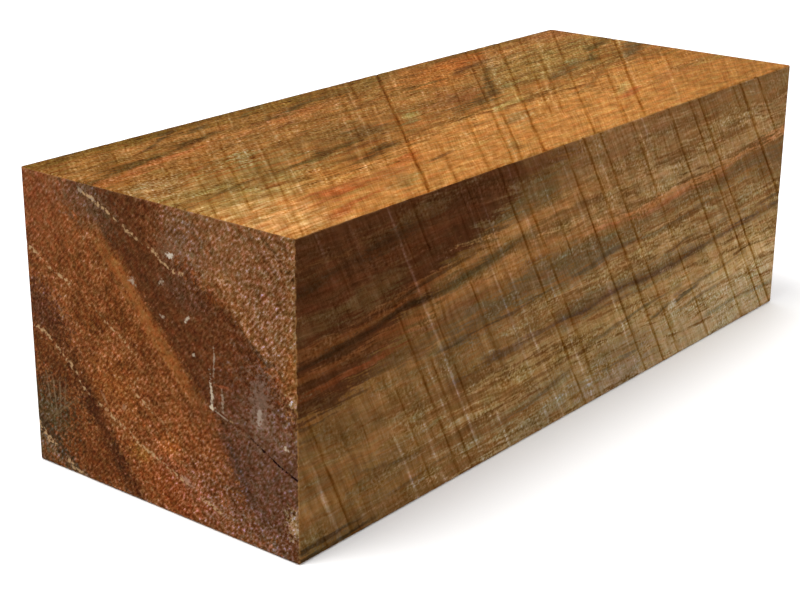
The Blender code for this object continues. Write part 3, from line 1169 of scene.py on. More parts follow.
# %% Front: bands and lines of the far half
front_figures += (
    ((140, 103, 62), 0.6, "spot", 94, 9, 14, 4.5, -4),
    (GREY, 0.8, "streak", 1.8, (32, 27.2, 1.2, 0), (38, 26.5, 2, 0.8), (44, 25, 2.6, 1),
     (50, 23.8, 2.6, 1), (60, 22, 2.8, 0.9), (72, 21.5, 3, 0.8), (85, 21.2, 2.4, 0.7),
     (97, 21, 1.5, 0)),
    ((100, 80, 54), 0.6, "streak", 1.4, (62, 24, 1, 0), (70, 23.4, 2.5, 0.9), (80, 22.8, 2.4, 0.9),
     (88, 22, 1.2, 0)),
    ((70, 48, 28), 0.8, "streak", 0.35, (32, 27.9, 0.3, 0), (37, 27.3, 0.4, 0.9),
     (44, 26.6, 0.4, 0.8), (50, 26.3, 0.4, 0.9), (58, 25.6, 0.3, 0.8), (62, 25.1, 0.3, 0.7),
     (69, 24.6, 0.3, 0)),
    (GREY, 0.75, "streak", 1.3, (64, 32, 1, 0), (71, 31.6, 2.2, 0.9), (85, 30.8, 2, 0.8),
     (100, 31, 1.9, 0.8), (112, 30.8, 1.7, 0.8), (124, 30, 1, 0.5), (149, 29, 1, 0.5)),
    (PLUM, 0.8, "streak", 0.6, (35, 34, 0.4, 0), (40, 33.6, 0.5, 0.8), (45, 33.1, 0.6, 0.9),
     (50, 32.8, 0.6, 0.9), (56, 32.4, 0.45, 0.8), (62, 32.1, 0.45, 0.8), (69, 32.2, 0.6, 0.9),
     (75, 32.4, 0.7, 1), (80, 31.6, 0.6, 0.9), (86, 31, 0.7, 1), (100, 31.3, 0.7, 0.9),
     (112, 31, 0.9, 0.9), (120, 30.4, 0.6, 0.8), (132, 29.4, 0.55, 1), (140, 29, 0.55, 0.9),
     (149, 28.6, 0.5, 0.9)),
    (PLUM, 0.7, "streak", 0.3, (77, 33.4, 0.3, 0), (84, 33.1, 0.35, 0.9), (95, 33.2, 0.3, 0.8),
     (105, 33.3, 0.3, 0.7), (113, 33.6, 0.3, 0)),
    (OCHRE, 0.75, "streak", 2.0, (82, 15, 1.5, 0), (92, 14.4, 2.7, 0.8), (102, 13.6, 3, 0.9),
     (112, 12.8, 3, 1), (125, 12.3, 2.6, 0.9), (138, 11.8, 2.4, 0.8), (149, 11.2, 2, 0.7)),
    (OCHRE, 0.7, "streak", 1.2, (112, 8.4, 1, 0), (120, 7.8, 1.8, 0.9), (128, 7.4, 1.4, 0.6),
     (134, 7.4, 1.7, 0.9), (149, 7, 1.4, 0.7)),
    ((166, 110, 66), 0.85, "streak", 0.8, (72, 18.2, 0.8, 0), (80, 17.8, 1, 0.9), (90, 17.5, 1, 0.8),
     (100, 17.2, 0.9, 1), (112, 17, 0.9, 0.8), (120, 16.6, 1, 0.9), (128, 15, 1, 0.9),
     (138, 14, 1, 1), (149, 13.4, 1, 1)),
    ((148, 82, 50), 0.8, "streak", 0.45, (76, 18.6, 0.4, 0), (84, 18.4, 0.55, 0.9),
     (92, 18.2, 0.45, 0.6), (100, 17.9, 0.4, 0.6), (110, 17.8, 0.4, 0.5), (118, 17.5, 0.5, 0.9),
     (126, 17.1, 0.4, 0)),
    ((98, 72, 46), 0.7, "streak", 1.3, (86, 20, 0.8, 0), (96, 19.5, 1.3, 0.7), (105, 19.2, 1.4, 0.7),
     (118, 18.8, 1.6, 0.9), (126, 17.8, 1.9, 1), (135, 16.8, 1.9, 1), (142, 17, 1.7, 1),
     (149, 17.6, 1.6, 1)),
    ((76, 58, 40), 0.7, "streak", 0.4, (68, 24.6, 0.3, 0), (76, 24.1, 0.5, 0.9), (81, 23.7, 0.55, 1),
     (87, 23.2, 0.4, 1), (95, 23.2, 0.35, 0.7), (104, 23, 0.4, 0.8), (112, 22.4, 0.5, 0.8),
     (118, 21.8, 0.5, 0.8), (125, 21.4, 0.3, 0)),
    ((78, 52, 30), 0.8, "streak", 0.35, (102, 28.3, 0.3, 0), (106, 28, 0.4, 1),
     (111, 27.3, 0.35, 0.8), (118, 27.4, 0.25, 0.5), (128, 27.1, 0.3, 0.6), (136, 27.3, 0.25, 0.3),
     (142, 27.1, 0.4, 1), (146, 26.8, 0.35, 1), (149, 26.6, 0.3, 0.5)),
)
print("With the far half:", len(front_figures))

# %% Front: the lower part
front_figures += (
    ((134, 99, 52), 0.6, "streak", 1.8, (42, 38, 1.5, 0), (54, 38.5, 2.6, 0.9), (64, 38.4, 2.6, 0.9),
     (74, 37.2, 2.2, 0.8), (84, 35.4, 2, 0.9), (94, 35.2, 1.6, 0.6), (102, 35.5, 1, 0)),
    ((150, 112, 66), 0.55, "streak", 1.8, (90, 35, 1, 0), (102, 35, 2.2, 0.8), (115, 34.5, 2.4, 0.9),
     (130, 34, 2.4, 1), (149, 33, 2.2, 0.9)),
    ((88, 64, 38), 0.75, "streak", 0.3, (72, 39, 0.25, 0), (80, 38.5, 0.35, 0.8),
     (90, 37.8, 0.35, 0.9), (98, 37, 0.35, 0.9), (106, 36.6, 0.3, 0.7), (118, 36, 0.25, 0)),
    ((88, 64, 38), 0.75, "streak", 0.3, (106, 37.9, 0.25, 0), (112, 37.6, 0.35, 0.9),
     (122, 37, 0.35, 0.8), (130, 36.5, 0.3, 0.7), (138, 36.3, 0.2, 0)),
    ((92, 70, 44), 0.7, "streak", 0.3, (108, 41.3, 0.3, 0), (116, 40.8, 0.4, 0.9),
     (124, 40.5, 0.35, 0.8), (134, 40, 0.3, 0)),
    ((56, 42, 25), 0.75, "streak", 0.35, (98.5, 40.2, 0.3, 0), (101.5, 39.7, 0.45, 1),
     (104, 39.2, 0.4, 1), (106, 38.9, 0.3, 0.6), (108, 39.1, 0.4, 1), (111, 38.8, 0.5, 1),
     (114, 38.4, 0.45, 1), (117, 38, 0.3, 0)),
    ((182, 156, 124), 0.8, "spot", 106.4, 39.5, 1.5, 0.7, -10),
    ((84, 58, 34), 0.7, "streak", 0.35, (14, 40.8, 0.3, 0), (20, 41.4, 0.4, 0.9), (24, 42, 0.4, 0.8),
     (30, 42.4, 0.3, 0)),
    ((106, 86, 58), 0.5, "streak", 1.0, (34, 45.8, 0.8, 0), (46, 45.2, 1.4, 0.8),
     (54, 44.6, 1.4, 0.8), (62, 44, 1.6, 1), (68, 43, 1.4, 0.9), (75, 42, 1, 0)),
    ((76, 56, 33), 0.6, "streak", 0.35, (40, 45, 0.25, 0), (50, 44.9, 0.3, 0.7), (60, 44.4, 0.45, 1),
     (66, 43, 0.45, 0.9), (73, 42, 0.3, 0)),
    ((124, 104, 76), 0.5, "streak", 1.2, (52, 49, 0.8, 0), (60, 48.4, 1.9, 0.9), (66, 47.6, 2.1, 1),
     (72, 47, 1.8, 0.8), (82, 46.5, 1, 0)),
    ((112, 92, 64), 0.55, "streak", 1.2, (76, 43, 1, 0), (84, 43, 2, 0.9), (92, 43, 2, 0.9),
     (100, 43.4, 1, 0)),
    ((80, 62, 42), 0.65, "streak", 0.35, (80, 45.6, 0.3, 0), (88, 45.4, 0.45, 0.9), (96, 44.8, 0.3, 0)),
    ((104, 90, 66), 0.7, "streak", 0.4, (114, 46, 0.3, 0), (124, 45.8, 0.5, 0.8),
     (134, 45.6, 0.5, 0.9), (142, 46, 0.5, 0.8), (149, 46.2, 0.4, 0.6)),
    ((98, 70, 38), 0.6, "streak", 1.6, (0, 47, 2.5, 1), (10, 47.5, 2.5, 0.8), (22, 48, 2, 0.4),
     (34, 49, 1.5, 0)),
    ((52, 36, 20), 0.85, "streak", 0.35, (0, 48.8, 0.35, 1), (8, 48.8, 0.35, 0.9), (16, 48.8, 0.3, 0)),
    ((52, 36, 20), 0.85, "streak", 0.4, (0, 50.1, 0.45, 1), (10, 50.1, 0.4, 1), (19, 50, 0.3, 0)),
    ((74, 52, 30), 0.7, "streak", 0.35, (18, 47.9, 0.3, 0), (26, 47.2, 0.35, 0.8),
     (32, 46.4, 0.35, 0.8), (38, 46, 0.3, 0)),
)
front = SawnWood(FRONT, 1.0, FRONT_LIGHT, FRONT_GLOSS)
front_material = sawn(front, FRONT_GROUNDS, front_figures, FRONT_WEAVE)
print("Front figures:", len(front_figures))

# %% [markdown]
# ## The top face
#
# The top catches the light, and its front half is bright orange. The back half is browner and olive.

# %% Colours and weave of the top
TOP_LIGHT = 1.61
TOP_GLOSS = 0.005
DEEP = (92, 62, 27)
BARK = (100, 71, 31)
PALE_OLIVE = (180, 148, 84)
FLAME = (197, 133, 68)
TOP_GROUNDS = ((142, 93, 43), (176, 116, 59))
TOP_WEAVE = {
    "fibre": 0.9, "sweeps": 0.85, "mottle": 1.6, "hair": 0.6, "dashes": 1.0, "scratches": 1.0,
    "ticks": 0.2, "grit": 2.6, "flecks": 1.1, "rust": 1.6, "khaki": 0.4,
    "coarse_to": 34, "coarse_slope": 0.008,
}
print(f"The top gets {TOP_LIGHT / FRONT_LIGHT:.2f} times the front's light")

# %% Top: grounds
top_figures = (
    (FLAME, 0.9, "streak", 3.0, (0, 58, 20, 1), (10, 59, 20, 1), (25, 60, 20, 1), (45, 59, 20, 1),
     (60, 56, 20, 1), (75, 55, 20, 1), (90, 56, 20, 1), (110, 54, 20, 1), (130, 52, 20, 1),
     (149, 52, 20, 1)),
    ((114, 78, 28), 0.8, "streak", 2.2, (0, 1, 3, 1), (20, 0.5, 4, 1), (50, 0, 5, 1), (75, 0, 4.5, 1),
     (90, -1, 3, 0.8), (110, -0.5, 2.5, 0.9), (149, 0, 3.5, 1)),
    ((154, 119, 64), 0.75, "spot", 12, 33, 23, 8, -4),
    ((174, 136, 76), 0.7, "spot", 9, 41, 16, 3.5, -6),
    ((134, 94, 48), 0.7, "spot", 44, 26, 20, 7, -6),
    ((163, 121, 62), 0.8, "spot", 120, 19, 34, 9.5, -10),
    ((176, 98, 42), 0.8, "spot", 103, 6.5, 17, 5.6, -10),
    ((182, 110, 50), 0.7, "spot", 95, 11, 10, 4, -18),
    ((170, 88, 36), 0.6, "spot", 110, 5.5, 7, 2.6, -20),
    ((130, 94, 46), 0.7, "streak", 1.5, (72, 8, 0.8, 0), (80, 5, 2, 0.9), (87, 2.6, 2, 0.9),
     (94, 1, 1, 0)),
    ((110, 80, 34), 0.75, "streak", 1.0, (94, 4, 0.5, 0), (102, 2.4, 1.2, 0.9), (110, 1.6, 1.2, 0.9),
     (118, 1, 1.4, 0.9), (126, 1, 1.2, 0.7), (134, 1, 1, 0.6), (144, 1.2, 0.6, 0)),
    ((142, 86, 46), 0.75, "spot", 84, 24.5, 12, 4.2, -16),
)
print("Grounds:", len(top_figures), "figures")

# %% Top: the near half
top_figures += (
    (DEEP, 0.9, "streak", 0.9, (0, 15.8, 1, 1), (6, 14.8, 1.1, 0.9), (10, 14, 1.2, 1),
     (15, 12.9, 1.1, 1), (20, 12, 1.1, 1), (24, 11.2, 1, 1), (28, 10.2, 1, 1), (33, 9.2, 0.9, 0.9),
     (38, 8, 0.6, 0)),
    (DEEP, 0.7, "streak", 0.4, (0, 13.8, 0.45, 0.9), (8, 12.5, 0.4, 0.8), (15, 11.6, 0.3, 0)),
    ((96, 66, 34), 0.85, "streak", 0.8, (41, 10.7, 0.4, 0), (46, 9.9, 0.7, 0.8), (51, 8.9, 1, 1),
     (55, 7.6, 1, 1), (60, 5.8, 0.9, 1), (64, 4.8, 0.8, 0.8), (70, 4.5, 0.9, 0.8), (76, 4, 0.5, 0)),
    ((96, 66, 34), 0.85, "streak", 0.6, (16, 8.9, 0.3, 0), (19, 8, 0.55, 1), (23, 6.4, 0.55, 0.9),
     (26, 4.6, 0.8, 1), (30, 2.6, 0.7, 1), (33, 1, 0.6, 0.9), (38, -1, 0.4, 0)),
    ((98, 72, 40), 0.75, "streak", 0.6, (30, 6, 0.3, 0), (34, 4.6, 0.8, 0.9), (37, 3.4, 0.7, 0.8),
     (42, 1, 0.4, 0)),
    ((98, 72, 40), 0.7, "streak", 0.6, (44, 4.6, 0.3, 0), (48, 3, 0.7, 0.8), (52, 1, 0.6, 0.7),
     (57, -1, 0.3, 0)),
    ((178, 100, 52), 0.75, "streak", 1.1, (0, 18, 1.1, 0.8), (6, 17.2, 1.3, 0.8),
     (15, 15.3, 1.5, 0.9), (22, 14, 1.3, 0.9), (27, 13, 1.1, 0.7), (36, 11.4, 0.8, 0)),
    ((182, 108, 56), 0.6, "streak", 1.4, (34, 13, 1, 0), (42, 12, 2, 0.8), (52, 11.4, 2, 0.9),
     (62, 9.6, 1.6, 0.7), (72, 8, 1, 0)),
    (DEEP, 0.85, "streak", 0.6, (0, 36.8, 0.45, 0.9), (6, 36, 0.45, 0.9), (12, 34.8, 0.45, 0.8),
     (20, 33.6, 0.45, 0.8), (27, 33.4, 0.8, 1), (32, 32.4, 0.9, 1), (37, 31.6, 1.1, 1),
     (43, 30.6, 1, 0.9), (50, 29.6, 0.6, 0)),
    ((120, 74, 38), 0.8, "streak", 0.6, (38, 33.8, 0.4, 0), (44, 32.8, 0.9, 1), (50, 32, 0.8, 0.8),
     (57, 31.1, 0.5, 0)),
    ((92, 62, 31), 0.9, "streak", 0.8, (35, 39, 0.5, 0), (39, 38.3, 1, 1), (43, 37.4, 1.2, 1),
     (47, 36, 1, 1), (52, 35.1, 0.5, 0)),
    ((128, 86, 46), 0.5, "streak", 0.7, (25, 41.6, 0.4, 0), (31, 40.6, 0.9, 0.9), (36, 40, 0.8, 0.8),
     (41, 39.6, 0.4, 0)),
    ((112, 76, 40), 0.75, "spot", 53, 27, 5.5, 3, -25),
    ((170, 88, 42), 0.8, "spot", 21.5, 48, 6, 2.8, -4),
    ((166, 104, 54), 0.7, "spot", 35, 47.4, 7.5, 2.6, -6),
    ((160, 88, 42), 0.8, "streak", 0.5, (11, 50.5, 0.4, 0), (17, 49.6, 0.8, 0.9),
     (24, 48.8, 0.7, 0.9), (30, 48.4, 0.6, 0.8), (36, 48, 0.5, 0.7), (42, 47.6, 0.3, 0)),
    ((156, 88, 42), 0.75, "streak", 0.35, (13, 46.5, 0.3, 0), (18, 46.2, 0.4, 0.9),
     (26, 45.8, 0.4, 0.9), (33, 45.6, 0.3, 0)),
    ((180, 98, 46), 0.8, "streak", 1.1, (35, 45.2, 0.7, 0), (40, 44.6, 1.4, 0.9), (44, 43.8, 1.9, 1),
     (49, 42.2, 1, 0)),
    ((176, 92, 44), 0.85, "streak", 0.7, (9, 56.8, 0.8, 0), (13, 55.6, 1.4, 1), (17, 54.2, 0.9, 1),
     (21, 53, 0.7, 0.9), (26, 52.4, 0.5, 0.7), (33, 52, 0.4, 0)),
    ((124, 78, 39), 0.8, "streak", 0.4, (43, 48.1, 0.3, 0), (46.5, 47.5, 0.55, 1),
     (49.5, 47, 0.5, 0.9), (53, 46.8, 0.3, 0)),
    ((216, 160, 98), 0.6, "spot", 4, 50, 9.5, 7, -10),
    ((158, 120, 66), 0.7, "spot", 33, 51.5, 5, 2.3, -20),
    ((136, 98, 50), 0.75, "spot", 60.5, 52.6, 4.2, 1.5, -35),
)
print("With the near half:", len(top_figures))

# %% Top: the far half
top_figures += (
    ((104, 73, 36), 0.9, "streak", 1.2, (68, 31.6, 0.6, 0), (74, 30.8, 1.4, 1), (80, 29.4, 1.6, 1),
     (85, 28.4, 1.7, 1), (90, 26.6, 1.6, 1), (94, 23.6, 1.5, 1), (97, 20.6, 1.3, 1),
     (101, 17, 1.1, 0.9), (105, 14.6, 0.9, 1), (109, 12.8, 0.4, 0)),
    ((106, 64, 33), 0.85, "streak", 0.8, (96, 12.6, 0.4, 0), (100, 11.4, 1, 1), (104, 10.2, 1.1, 1),
     (108, 9.4, 1, 1), (112, 8.6, 0.8, 0.8), (117, 7.4, 0.4, 0)),
    ((116, 84, 46), 0.8, "streak", 1.2, (104, 29.8, 0.6, 0), (110, 28, 1.6, 1), (116, 25.8, 1.8, 1),
     (122, 23.8, 1.5, 0.9), (129, 22.4, 0.7, 0)),
    (BARK, 0.85, "streak", 1.1, (123, 26.6, 0.4, 0), (128, 24.2, 1.1, 1), (132, 21.6, 1.5, 1),
     (137, 18.6, 1.5, 1), (142, 17, 1.2, 0.9), (149, 14.4, 0.9, 0.8)),
    ((104, 80, 48), 0.85, "streak", 1.3, (132, 29, 0.6, 0), (140, 26.8, 1.6, 1), (145, 24.2, 2, 1),
     (149, 22, 2, 1)),
    ((140, 98, 50), 0.75, "streak", 0.4, (101, 39, 0.3, 0), (106, 37.4, 0.45, 0.9),
     (112, 35.2, 0.45, 0.9), (120, 32, 0.45, 0.9), (127, 29.4, 0.45, 0.8), (133, 27.2, 0.3, 0)),
    ((190, 126, 60), 0.6, "streak", 2.0, (122, 36.8, 1, 0), (132, 36, 2.8, 0.9), (140, 35, 3.2, 1),
     (149, 34.5, 3.2, 0.9)),
    ((164, 107, 57), 0.75, "streak", 1.8, (114, 45.2, 1, 0), (124, 44.6, 2.5, 0.8), (134, 43.8, 3, 1),
     (142, 43, 2.8, 0.9), (149, 42.6, 2.4, 0.9)),
    ((188, 148, 76), 0.75, "streak", 0.8, (136, 43.9, 0.5, 0), (143, 43.2, 1.2, 1),
     (149, 42.4, 1.2, 0.9)),
    ((186, 104, 58), 0.8, "streak", 0.7, (102, 47.4, 0.4, 0), (106, 46.6, 1, 1), (110, 45.6, 1, 0.9),
     (114, 44.6, 0.5, 0)),
    ((188, 152, 86), 0.75, "streak", 0.9, (102, 45.8, 0.5, 0), (108, 43.4, 1.3, 1),
     (112, 41.6, 1.2, 0.9), (118, 39, 0.5, 0)),
    (PALE_OLIVE, 0.75, "streak", 0.9, (76, 36.8, 0.5, 0), (83, 35, 1.3, 1), (88, 33.6, 1.2, 0.9),
     (93, 32.2, 0.4, 0)),
)
print("With the far half:", len(top_figures))

# %% Top: patches and short lines
top_figures += (
    ((160, 106, 50), 0.65, "spot", 138, 54, 24, 9, -4),
    ((184, 138, 86), 0.5, "spot", 4, 26, 7, 4),
    ((150, 94, 40), 0.5, "spot", 144, 37, 8, 8),
    ((180, 106, 58), 0.5, "spot", 144, 3.5, 8, 4),
    ((134, 90, 46), 0.4, "spot", 32, 18, 10, 4, -15),
    ((178, 130, 74), 0.45, "spot", 116, 11, 10, 3.5, -10),
    ((192, 120, 50), 0.4, "spot", 28, 40, 7, 3),
    ((164, 127, 78), 0.7, "spot", 77, 42, 5, 2.1, -20),
    ((130, 108, 64), 0.6, "spot", 62.5, 29, 3.0, 1.3, -30),
    ((168, 138, 74), 0.6, "spot", 65, 26.8, 3.2, 1.4, -30),
    ((136, 112, 62), 0.6, "spot", 98, 25, 3.8, 1.6, -20),
    ((140, 116, 68), 0.6, "spot", 122, 23.6, 3, 1.2, -30),
    ((168, 140, 84), 0.6, "spot", 26, 24, 4.5, 1.9, -45),
    ((146, 88, 45), 0.75, "streak", 0.4, (9, 26, 0.3, 0), (13, 24.6, 0.55, 0.9),
     (16, 22.8, 0.55, 0.9), (20, 20.6, 0.3, 0)),
    ((118, 75, 37), 0.75, "streak", 0.4, (60.5, 16.8, 0.3, 0), (63.5, 15.8, 0.55, 0.9),
     (66, 14.6, 0.45, 0.8), (69, 13.8, 0.3, 0)),
    ((138, 83, 42), 0.75, "streak", 0.4, (42, 16.4, 0.3, 0), (47, 14.6, 0.45, 0.8),
     (50, 13.6, 0.45, 0.9), (55, 12.9, 0.3, 0)),
)
top = SawnWood(TOP, 2.0, TOP_LIGHT, TOP_GLOSS)
top_material = sawn(top, TOP_GROUNDS, top_figures, TOP_WEAVE)
print("Top figures:", len(top_figures))

# %% [markdown]
# ## The back and the bottom
#
# The photograph hides these two. Their streaks start where the bands of the near end meet them, and
# then run along the grain as the front's do, so the block stays one piece of timber on every side.

# %% Back
back_figures = (
    ((136, 104, 66), 0.7, "spot", 120, 20, 60, 26),
    ((98, 62, 36), 0.6, "streak", 3, (0, 4, 8, 0.9), (30, 2, 7, 0.8), (60, 0, 5, 0.6), (90, -3, 3, 0)),
    (HEART, 0.9, "streak", 2.2, (0, 23.5, 4.5, 1), (20, 22, 4.4, 1), (40, 19, 4, 1),
     (62, 15.5, 3.4, 0.9), (84, 12, 2.6, 0.8), (110, 9, 1.6, 0)),
    (BLACK, 0.8, "streak", 0.7, (0, 26.3, 0.8, 1), (18, 25, 0.8, 1), (40, 22, 0.7, 0.9),
     (60, 18.5, 0.6, 0.6), (75, 16, 0.4, 0)),
    (AMBER, 0.75, "streak", 1.2, (0, 30, 2, 0.8), (20, 28.6, 1.8, 0.9), (45, 25, 1.6, 0.9),
     (70, 21, 1.5, 0.8), (100, 17, 1.2, 0.6), (125, 15, 1, 0)),
    (GREY, 0.8, "streak", 1.6, (0, 36, 2, 0.7), (25, 34.5, 2.2, 0.9), (55, 31, 2.4, 0.9),
     (85, 27, 2, 0.8), (115, 24.5, 1.6, 0.7), (149, 22.5, 1.5, 0.8)),
    ((54, 41, 26), 0.85, "streak", 1.5, (0, 42, 2.8, 1), (16, 41, 2.4, 1), (34, 39, 1.6, 0.8),
     (52, 36.5, 1, 0)),
    (PLUM, 0.85, "streak", 0.6, (44, 37, 0.4, 0), (58, 35.4, 0.7, 0.9), (78, 32.4, 0.9, 1),
     (98, 30, 0.8, 0.9), (120, 28, 0.6, 1), (149, 26.6, 0.5, 0.9)),
    ((156, 106, 62), 0.8, "streak", 0.8, (60, 12, 0.6, 0), (76, 9.6, 1, 0.9), (96, 7.6, 1, 1),
     (120, 6.4, 0.9, 0.9), (149, 5, 0.9, 0.9)),
    (OCHRE, 0.7, "streak", 1.8, (74, 40, 1, 0), (92, 38.4, 2.2, 0.9), (112, 37, 2.4, 1),
     (149, 35, 2.2, 0.9)),
    ((88, 64, 38), 0.75, "streak", 0.35, (66, 42.6, 0.3, 0), (80, 41.4, 0.4, 0.9),
     (98, 40.6, 0.4, 0.9), (116, 40, 0.3, 0)),
    (BLACK, 0.8, "streak", 0.35, (24, 46.4, 0.3, 0), (30, 46, 0.45, 1), (38, 45.4, 0.4, 0.9),
     (44, 45, 0.3, 0)),
    ((110, 58, 29), 0.8, "streak", 0.5, (0, 17.4, 0.7, 0.9), (20, 16, 0.6, 0.9), (44, 12.6, 0.5, 0.7),
     (60, 10, 0.4, 0)),
    (BONE, 0.6, "spot", 128, 51, 40, 7),
)
back = SawnWood(BACK, 3.0, FRONT_LIGHT, FRONT_GLOSS)
back_material = sawn(back, FRONT_GROUNDS, back_figures, FRONT_WEAVE)
print("Back figures:", len(back_figures))

# %% Bottom
BOTTOM_GROUNDS = ((114, 78, 43), (134, 94, 53))
bottom_figures = (
    ((138, 94, 52), 0.8, "spot", 60, 37, 110, 13, -2),
    ((56, 44, 28), 0.8, "streak", 1.8, (0, 3, 4, 1), (14, 2.4, 3.4, 0.9), (30, 0.5, 2, 0.6),
     (44, -2, 1, 0)),
    ((84, 50, 28), 0.85, "streak", 2.2, (0, 20, 4.6, 1), (20, 18.6, 4.2, 1), (44, 15.6, 3.6, 0.9),
     (70, 12.4, 2.8, 0.8), (96, 10, 1.6, 0)),
    (BLACK, 0.8, "streak", 0.6, (0, 24.4, 0.6, 1), (22, 22.8, 0.7, 1), (46, 19.4, 0.6, 0.8),
     (66, 16.6, 0.4, 0)),
    (PLUM, 0.8, "streak", 2.6, (0, 55, 5.5, 1), (24, 54, 5, 1), (50, 52, 4, 0.9), (80, 49.6, 3, 0.8),
     (112, 48, 1.6, 0)),
    ((156, 102, 54), 0.75, "streak", 1.2, (0, 29, 1.6, 0.8), (30, 26.6, 1.8, 0.9),
     (64, 22.6, 1.6, 0.9), (100, 19, 1.4, 0.8), (149, 16, 1.2, 0.7)),
    (GREY, 0.8, "streak", 1.4, (40, 34, 0.8, 0), (58, 32.6, 2, 0.9), (82, 30, 2.2, 1),
     (110, 28, 1.8, 0.8), (149, 26, 1.5, 0.8)),
    (RUSSET, 0.8, "streak", 0.6, (0, 47.6, 0.7, 0.9), (26, 46, 0.7, 0.9), (54, 43.6, 0.6, 0.8),
     (78, 42, 0.4, 0)),
    ((88, 64, 38), 0.75, "streak", 0.35, (70, 38, 0.3, 0), (84, 37, 0.4, 0.9), (104, 36, 0.4, 0.9),
     (124, 35.4, 0.3, 0)),
    (OCHRE, 0.7, "streak", 2.0, (84, 42.6, 1, 0), (104, 41, 2.4, 0.9), (126, 40, 2.6, 1),
     (149, 39, 2.4, 0.9)),
    ((70, 48, 28), 0.8, "streak", 0.4, (92, 24.6, 0.3, 0), (100, 24, 0.5, 1), (110, 23.4, 0.45, 0.9),
     (118, 23, 0.3, 0)),
    (BONE, 0.55, "spot", 134, 5, 34, 8),
)
bottom = SawnWood(BOTTOM, 4.0, FRONT_LIGHT, FRONT_GLOSS)
bottom_material = sawn(bottom, BOTTOM_GROUNDS, bottom_figures, FRONT_WEAVE)
print("Bottom figures:", len(bottom_figures))

# %% [markdown]
# ## The ends
#
# An end shows the tree in section: rings as broad soft bands from corner to corner, and rays and
# vessels as a coarse pepper of light and dark. The pepper is stronger in the pale outer wood than in
# the dark band. Veins break into beads, and a few smears of wax are left from sealing the end.

# %% Grain of an end
RING_ALONG = (0.72, 0.70)
RAY_ALONG = (0.70, -0.72)


class EndWood(Wood):
    """Wood cut across the grain."""

    softness = 1.5

    def __init__(self, side, seed, light, gloss):
        super().__init__(side, seed, light, gloss)
        warp_u = self.patches(5, 3.0, 21) - 0.5
        warp_v = self.patches(5, 3.0, 27) - 0.5
        self.bent_v = self.v + warp_v * 2.0
        bent = {0: self.u + warp_u * 1.0, 1: self.v + warp_v * 1.0, 2: 0.0}
        self.bent = self.node("CombineXYZ", {}, bent)
        self.along_ring = self.u * RING_ALONG[0] + self.v * RING_ALONG[1]
        self.along_ray = self.u * RAY_ALONG[0] + self.v * RAY_ALONG[1]
        crumbs = self.patches(0.9, 2.0, 3) - 0.5
        grit = self.patches(0.35, 1.0, 4) - 0.5
        self.fray = crumbs * 3.0 + grit * 2.0


ring_slope = math.degrees(math.atan2(RING_ALONG[1], RING_ALONG[0]))
print(f"Rings run down towards the front at {ring_slope:.0f} degrees")

# %% Recipe of an end
RESIN = (188, 152, 110)
# Near-black painted shade inside the open check.
OPEN_CHECK_SHADE = (38, 22, 12)
WORN_RIM = (176, 136, 92)
VESSEL_SCALE = 1.35
END_SHINE = 0.02
END_BUMP = 0.10


def end_grain(wood, grounds, figures, wax, pepper_zones, weave):
    """The material of an end, from its grounds, figures, wax, zones of pepper and weave."""
    dark, light = grounds
    patches = wood.fade(wood.patches(6, 3.0, 5), 0.34, 0.66)
    colour = wood.paint(wood.mix(patches, wood.colour(dark), wood.colour(light)), figures)
    pepper = 1.0
    for amount, *facts in pepper_zones:
        pepper = pepper + wood.mask(*facts) * (amount - 1)
    speckle = wood.noise(wood.along_ray / 0.85, wood.along_ring / 0.42, 2.0, 33) - 0.5
    crumbs = wood.patches(0.85, 2.0, 35) - 0.5
    rings = wood.noise(wood.along_ring / 9, wood.along_ray / 1.1, 2.0, 37) - 0.5
    drift = wood.patches(2.6, 2.0, 39) - 0.5
    vector = wood.node("CombineXYZ", {}, {0: wood.u, 1: wood.v, 2: 0.0})
    sockets = {"Vector": vector, "Scale": VESSEL_SCALE}
    vessels = wood.fade(wood.node("TexVoronoi", {"feature": "F1"}, sockets, "Distance"), 0.36, 0.12)
    fine = speckle * weave["speckle"] + crumbs * weave["crumbs"] + vessels * weave["vessels"]
    broad = rings * weave["rings"] + drift * weave["drift"]
    rust = (wood.patches(1.2, 3.0, 53) - 0.5) * weave["rust"]
    colour = wood.shade(colour, broad, BROAD_GAINS)
    colour = wood.shade(colour, fine * pepper, FINE_GAINS)
    colour = wood.shade(colour, rust, RUST_GAINS)
    colour = wood.paint(colour, wax)
    beads = (wood.patches(0.7, 3.0, 51) - 0.5) * 7 + 0.8
    gaps = wood.fade(wood.patches(3.5, 2.0, 57), 0.34, 0.52) * 1.1
    vein = wood.fade(wood.attribute("vein") * beads * gaps, 0.25, 1.0)
    check = wood.fade(wood.attribute("check") * beads, 0.2, 0.7)
    colour = wood.mix(vein * 0.8, colour, wood.colour(RESIN))
    # Fills the open check with near-black painted shade.
    colour = wood.mix(check, colour, wood.colour(OPEN_CHECK_SHADE))
    colour = wood.mix(wood.attribute("arris") * beads * 0.3, colour, wood.colour(WORN_RIM))
    height = speckle + crumbs * 0.6 + vessels * 0.3
    roughness = 0.6 + 0.2 * speckle - 0.15 * vein
    return wood.finish(colour, roughness, height, END_BUMP, END_SHINE)


print("Layers of an end: ground, figures, rings, pepper, rust, wax, veins, checks, worn rim")

# %% [markdown]
# ## The near end
#
# The dark band crosses from the top edge to the front corner, with a bright orange rim on its lower
# side. The outer wood above it is tan, and a grey haze lies towards the front edge.

# %% Colours and weave of the ends
END_LIGHT = 1.45
END_GLOSS = 0.006
UMBER = (87, 50, 28)
HAZE = (98, 68, 50)
TAN = (126, 86, 54)
EMBER = (144, 88, 45)
WAX = (196, 178, 154)
END_GROUNDS = ((104, 58, 28), (128, 76, 40))
END_WEAVE = {"speckle": 4.6, "crumbs": 1.8, "vessels": 0.3, "rings": 0.9, "drift": 1.2, "rust": 2.2}
print(f"An end gets {END_LIGHT / FRONT_LIGHT:.2f} times the front's light")

